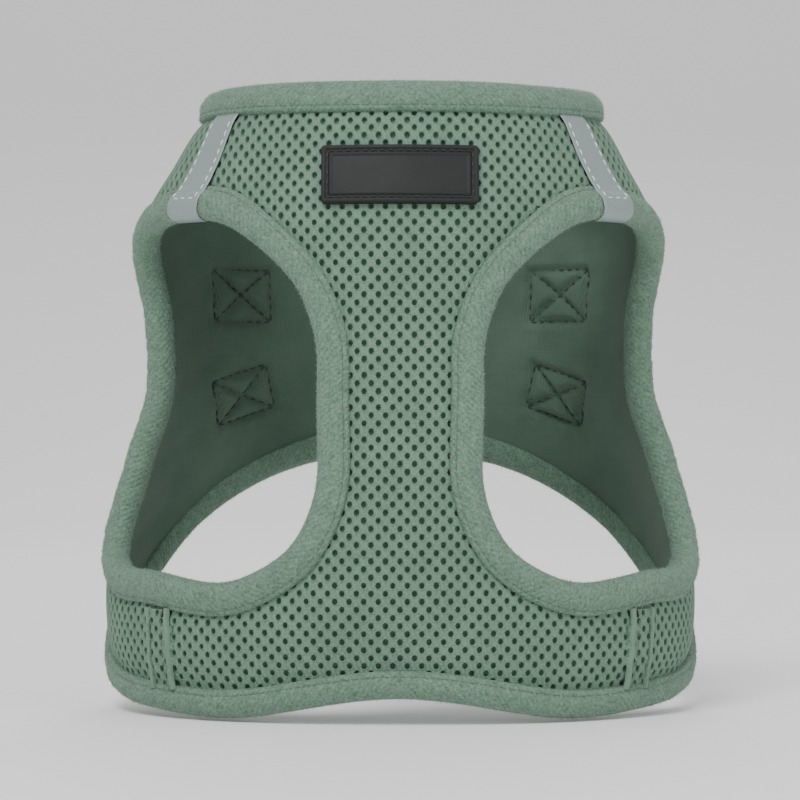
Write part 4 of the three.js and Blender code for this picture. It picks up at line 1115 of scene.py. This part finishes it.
def strap_piece(name, frame_at, path, width, side, body, node):
    length = lengths(path)
    count = int(length[-1] / 0.6)
    places = np.linspace(0, length[-1], count)
    line = sample(places, length, path)
    for _ in range(3):
        line[1:-1] = (line[:-2] + 2 * line[1:-1] + line[2:]) / 4
    run = unit(np.gradient(line, axis=0))
    columns = 21
    across = np.linspace(-width / 2, width / 2, columns)
    local = np.stack([
        np.repeat(line[:, 0], columns), np.tile(across, count), np.repeat(line[:, 1], columns),
    ], -1).reshape(count, columns, 3)
    normal_local = np.stack([-run[:, 1], np.zeros(count), run[:, 0]], -1)
    normals = (normal_local @ frame_at[1]) * np.array([side, 1, 1])
    normals = np.repeat(normals[:, None], columns, axis=1)
    centre = from_frame(frame_at, local, side)
    half = round_edges(count, columns, width, webbing_thick / 2, 0.7)
    uvs = np.stack(np.meshgrid(places, across, indexing="ij"), -1)
    points, faces, uvs = slab(centre, normals, half, uvs)
    strap = make_mesh(name, points, faces, [webbing_weave], uvs)
    assign(strap, body, "webbing", node)
    rows = []
    for along, wide in box_runs(places[-1] - 20.5, places[-1] - 1.5, width / 2 - 1.8, 30):
        mid = np.insert(sample(along, places, line), 1, wide, axis=1)
        step = -sample(along, places, normal_local)
        rows.append(stitch_row(
            from_frame(frame_at, mid + step * (webbing_thick / 2 + 0.08), side),
            (step @ frame_at[1]) * np.array([side, 1, 1]), 2.1, 0.7, 0.2,
        ))
    threads = make_mesh(f"{name}_threads", *joined(rows), [dark_thread])
    assign(threads, body, "webbing")


ring_height = body_height - 90
ring_frame = back_frame(strap_arc, ring_height, 0, 15)
flap_outer = 4.9
ring_lift = flap_outer + 1.5 + 1.0
bar_reach = 19.0
waist_a, waist_b = half_sizes(float(ring_height))
bar_drop = -(bar_reach**2) / 2 / (float(waist_a) ** 2 / float(waist_b))
ring_bar = np.array([bar_reach, bar_drop + ring_lift])
ring_path = strap_path(ring_frame, 15, strap_arc, ring_height, ring_bar, 1.5 * math.sqrt(2))
buckle_height = body_height - 59
buckle_frame = back_frame(strap_arc, buckle_height, 0, 0)
buckle_lift = flap_outer + 1.0 + 4.0
for side, word in ((1, "right"), (-1, "left")):
    wing = f"{word}_wing"
    strap_piece(f"{word}_ring_strap", ring_frame, ring_path, 16.0, side, wing, f"d_ring_strap_{word}")
    arc_from_back, near_end = (25.0, -6.5) if side > 0 else (16.0, -12.0)
    half_frame = back_frame(arc_from_back, buckle_height, buckle_lift, 0)
    bar_world = half_frame[0] + np.array([near_end + 0.6 + 1.3, 0, 0]) @ half_frame[1]
    bar_local = buckle_frame[1] @ (bar_world - buckle_frame[0])
    path = strap_path(buckle_frame, 0, strap_arc, buckle_height, bar_local[[0, 2]], 1.3 * math.sqrt(2))
    strap_piece(f"{word}_buckle_strap", buckle_frame, path, 20.0, side, wing, f"buckle_strap_{word}")

# ---- Leash rings: a D of 3 mm bright plated wire in each ring strap, free to swing round its straight bar.
steel = Finish("plated_steel", roughness=0.24, metallic=1.0)
steel.colour(steel.noise(220, 4), (0.55, 0.56, 0.56), (0.68, 0.69, 0.69))
steel.use("Roughness", steel.noise(500, 4) * 0.16 + 0.18)
steel.bump(steel.noise(900, 3), 0.02, 0.3)
ring_depth = 15.0
wire = 1.5


def bezier(points, count):
    s = np.linspace(0, 1, count)[:, None]
    p = [np.array(point) for point in points]
    return (1 - s) ** 3 * p[0] + 3 * (1 - s) ** 2 * s * p[1] + 3 * (1 - s) * s**2 * p[2] + s**3 * p[3]


ring_half = 8.0 + 0.3 + 3.0 - wire
crown = 4 - wire / 2
bend = 1.6
bow = bezier([
    (ring_depth * 0.35, ring_half), (ring_depth * 0.75, ring_half), (ring_depth, ring_half * 0.75),
    (ring_depth, crown),
], 22)
bow = np.concatenate([[(bend, ring_half)], bow, bow[::-1] * (1, -1), [(bend, -ring_half)]])
turn = np.linspace(0, math.pi / 2, 7)
foot = np.stack([bend * (1 - np.sin(turn)), -ring_half + bend * (1 - np.cos(turn))], -1)
outline = np.concatenate([bow[:-1], foot, (foot * (1, -1))[::-1][:-1]])
fine = np.concatenate([outline, outline[:1]])
length = lengths(fine)
steps, sides = 140, 18
outline = sample(np.linspace(0, length[-1], steps + 1)[:-1], length, fine)
run = unit(np.roll(outline, -1, 0) - np.roll(outline, 1, 0))
turn = np.radians(np.arange(sides) * 360.0 / sides)
tube = np.stack([
    outline[:, None, 0] + wire * np.cos(turn) * -run[:, None, 1],
    outline[:, None, 1] + wire * np.cos(turn) * run[:, None, 0],
    np.broadcast_to(wire * np.sin(turn), (steps, sides)),
], -1)
rest = math.radians(13)
swung = np.stack([
    tube[..., 0] * math.cos(rest) + tube[..., 2] * math.sin(rest) + ring_bar[0],
    tube[..., 1],
    -tube[..., 0] * math.sin(rest) + tube[..., 2] * math.cos(rest) + ring_bar[1],
], -1)
index = np.arange(steps * sides).reshape(steps, sides)
far = np.roll(index, -1, 0)
quads = np.stack([index, far, np.roll(far, -1, 1), np.roll(index, -1, 1)], -1).reshape(-1, 4)
for side, word in ((1, "right"), (-1, "left")):
    ring = make_mesh(f"{word}_leash_ring", from_frame(ring_frame, swung, side).reshape(-1, 3), quads, [steel])
    assign(ring, f"leash_ring_{word}", "metal", f"d_ring_{word}")

# ---- Side-release buckle: moulded plastic halves with softened edges. The plug's two prongs spring inwards
# as separate moving pieces, and an elastic keeper holds the right strap's layers together.
moulded = Finish("moulded_plastic", roughness=0.42)
grain = moulded.noise(1600, 3)
tone = moulded.noise(70, 4) * 0.6 + grain * 0.4
moulded.colour(tone, (0.048, 0.075, 0.058), (0.075, 0.112, 0.088))
moulded.use("Roughness", moulded.noise(200, 4) * 0.2 + 0.32)
moulded.bump(grain, 0.05, 0.5)
for node, body, slot, finish, soft in (
    ("buckle_housing", "left_wing", "plastic", moulded, 0.55),
    ("buckle_plug", "right_wing", "plastic", moulded, 0.45),
    ("buckle_prong_upper", "prong_upper", "plastic", moulded, 0.4),
    ("buckle_prong_lower", "prong_lower", "plastic", moulded, 0.4),
    ("strap_keeper", "right_wing", "webbing", webbing_weave, 0.3),
):
    shape = bmesh.new()
    shape.from_mesh(nodes[node].data)
    bmesh.ops.remove_doubles(shape, verts=shape.verts, dist=0.00001)
    bmesh.ops.dissolve_limit(shape, angle_limit=0.02, verts=shape.verts, edges=shape.edges)
    sharp = [edge for edge in shape.edges if edge.is_manifold and edge.calc_face_angle(0) > 0.5]
    bmesh.ops.bevel(
        shape, geom=sharp, offset=soft / 1000, offset_type="OFFSET", segments=3, profile=0.5, affect="EDGES",
        clamp_overlap=True,
    )
    bmesh.ops.triangulate(shape, faces=shape.faces)
    mesh = bpy.data.meshes.new(f"{node}_moulded")
    shape.to_mesh(mesh)
    shape.free()
    for face in mesh.polygons:
        face.use_smooth = True
    mesh.materials.append(finish.material)
    layer = mesh.uv_layers.new(name="cloth")
    for loop_corner in mesh.loops:
        spot = mesh.vertices[loop_corner.vertex_index].co * 1000
        layer.data[loop_corner.index].uv = (spot.z, spot.x + spot.y)
    mesh.set_sharp_from_angle(angle=math.radians(35))
    piece = bpy.data.objects.new(f"{node}_moulded", mesh)
    bpy.context.scene.collection.objects.link(piece)
    assign(piece, body, slot, node)
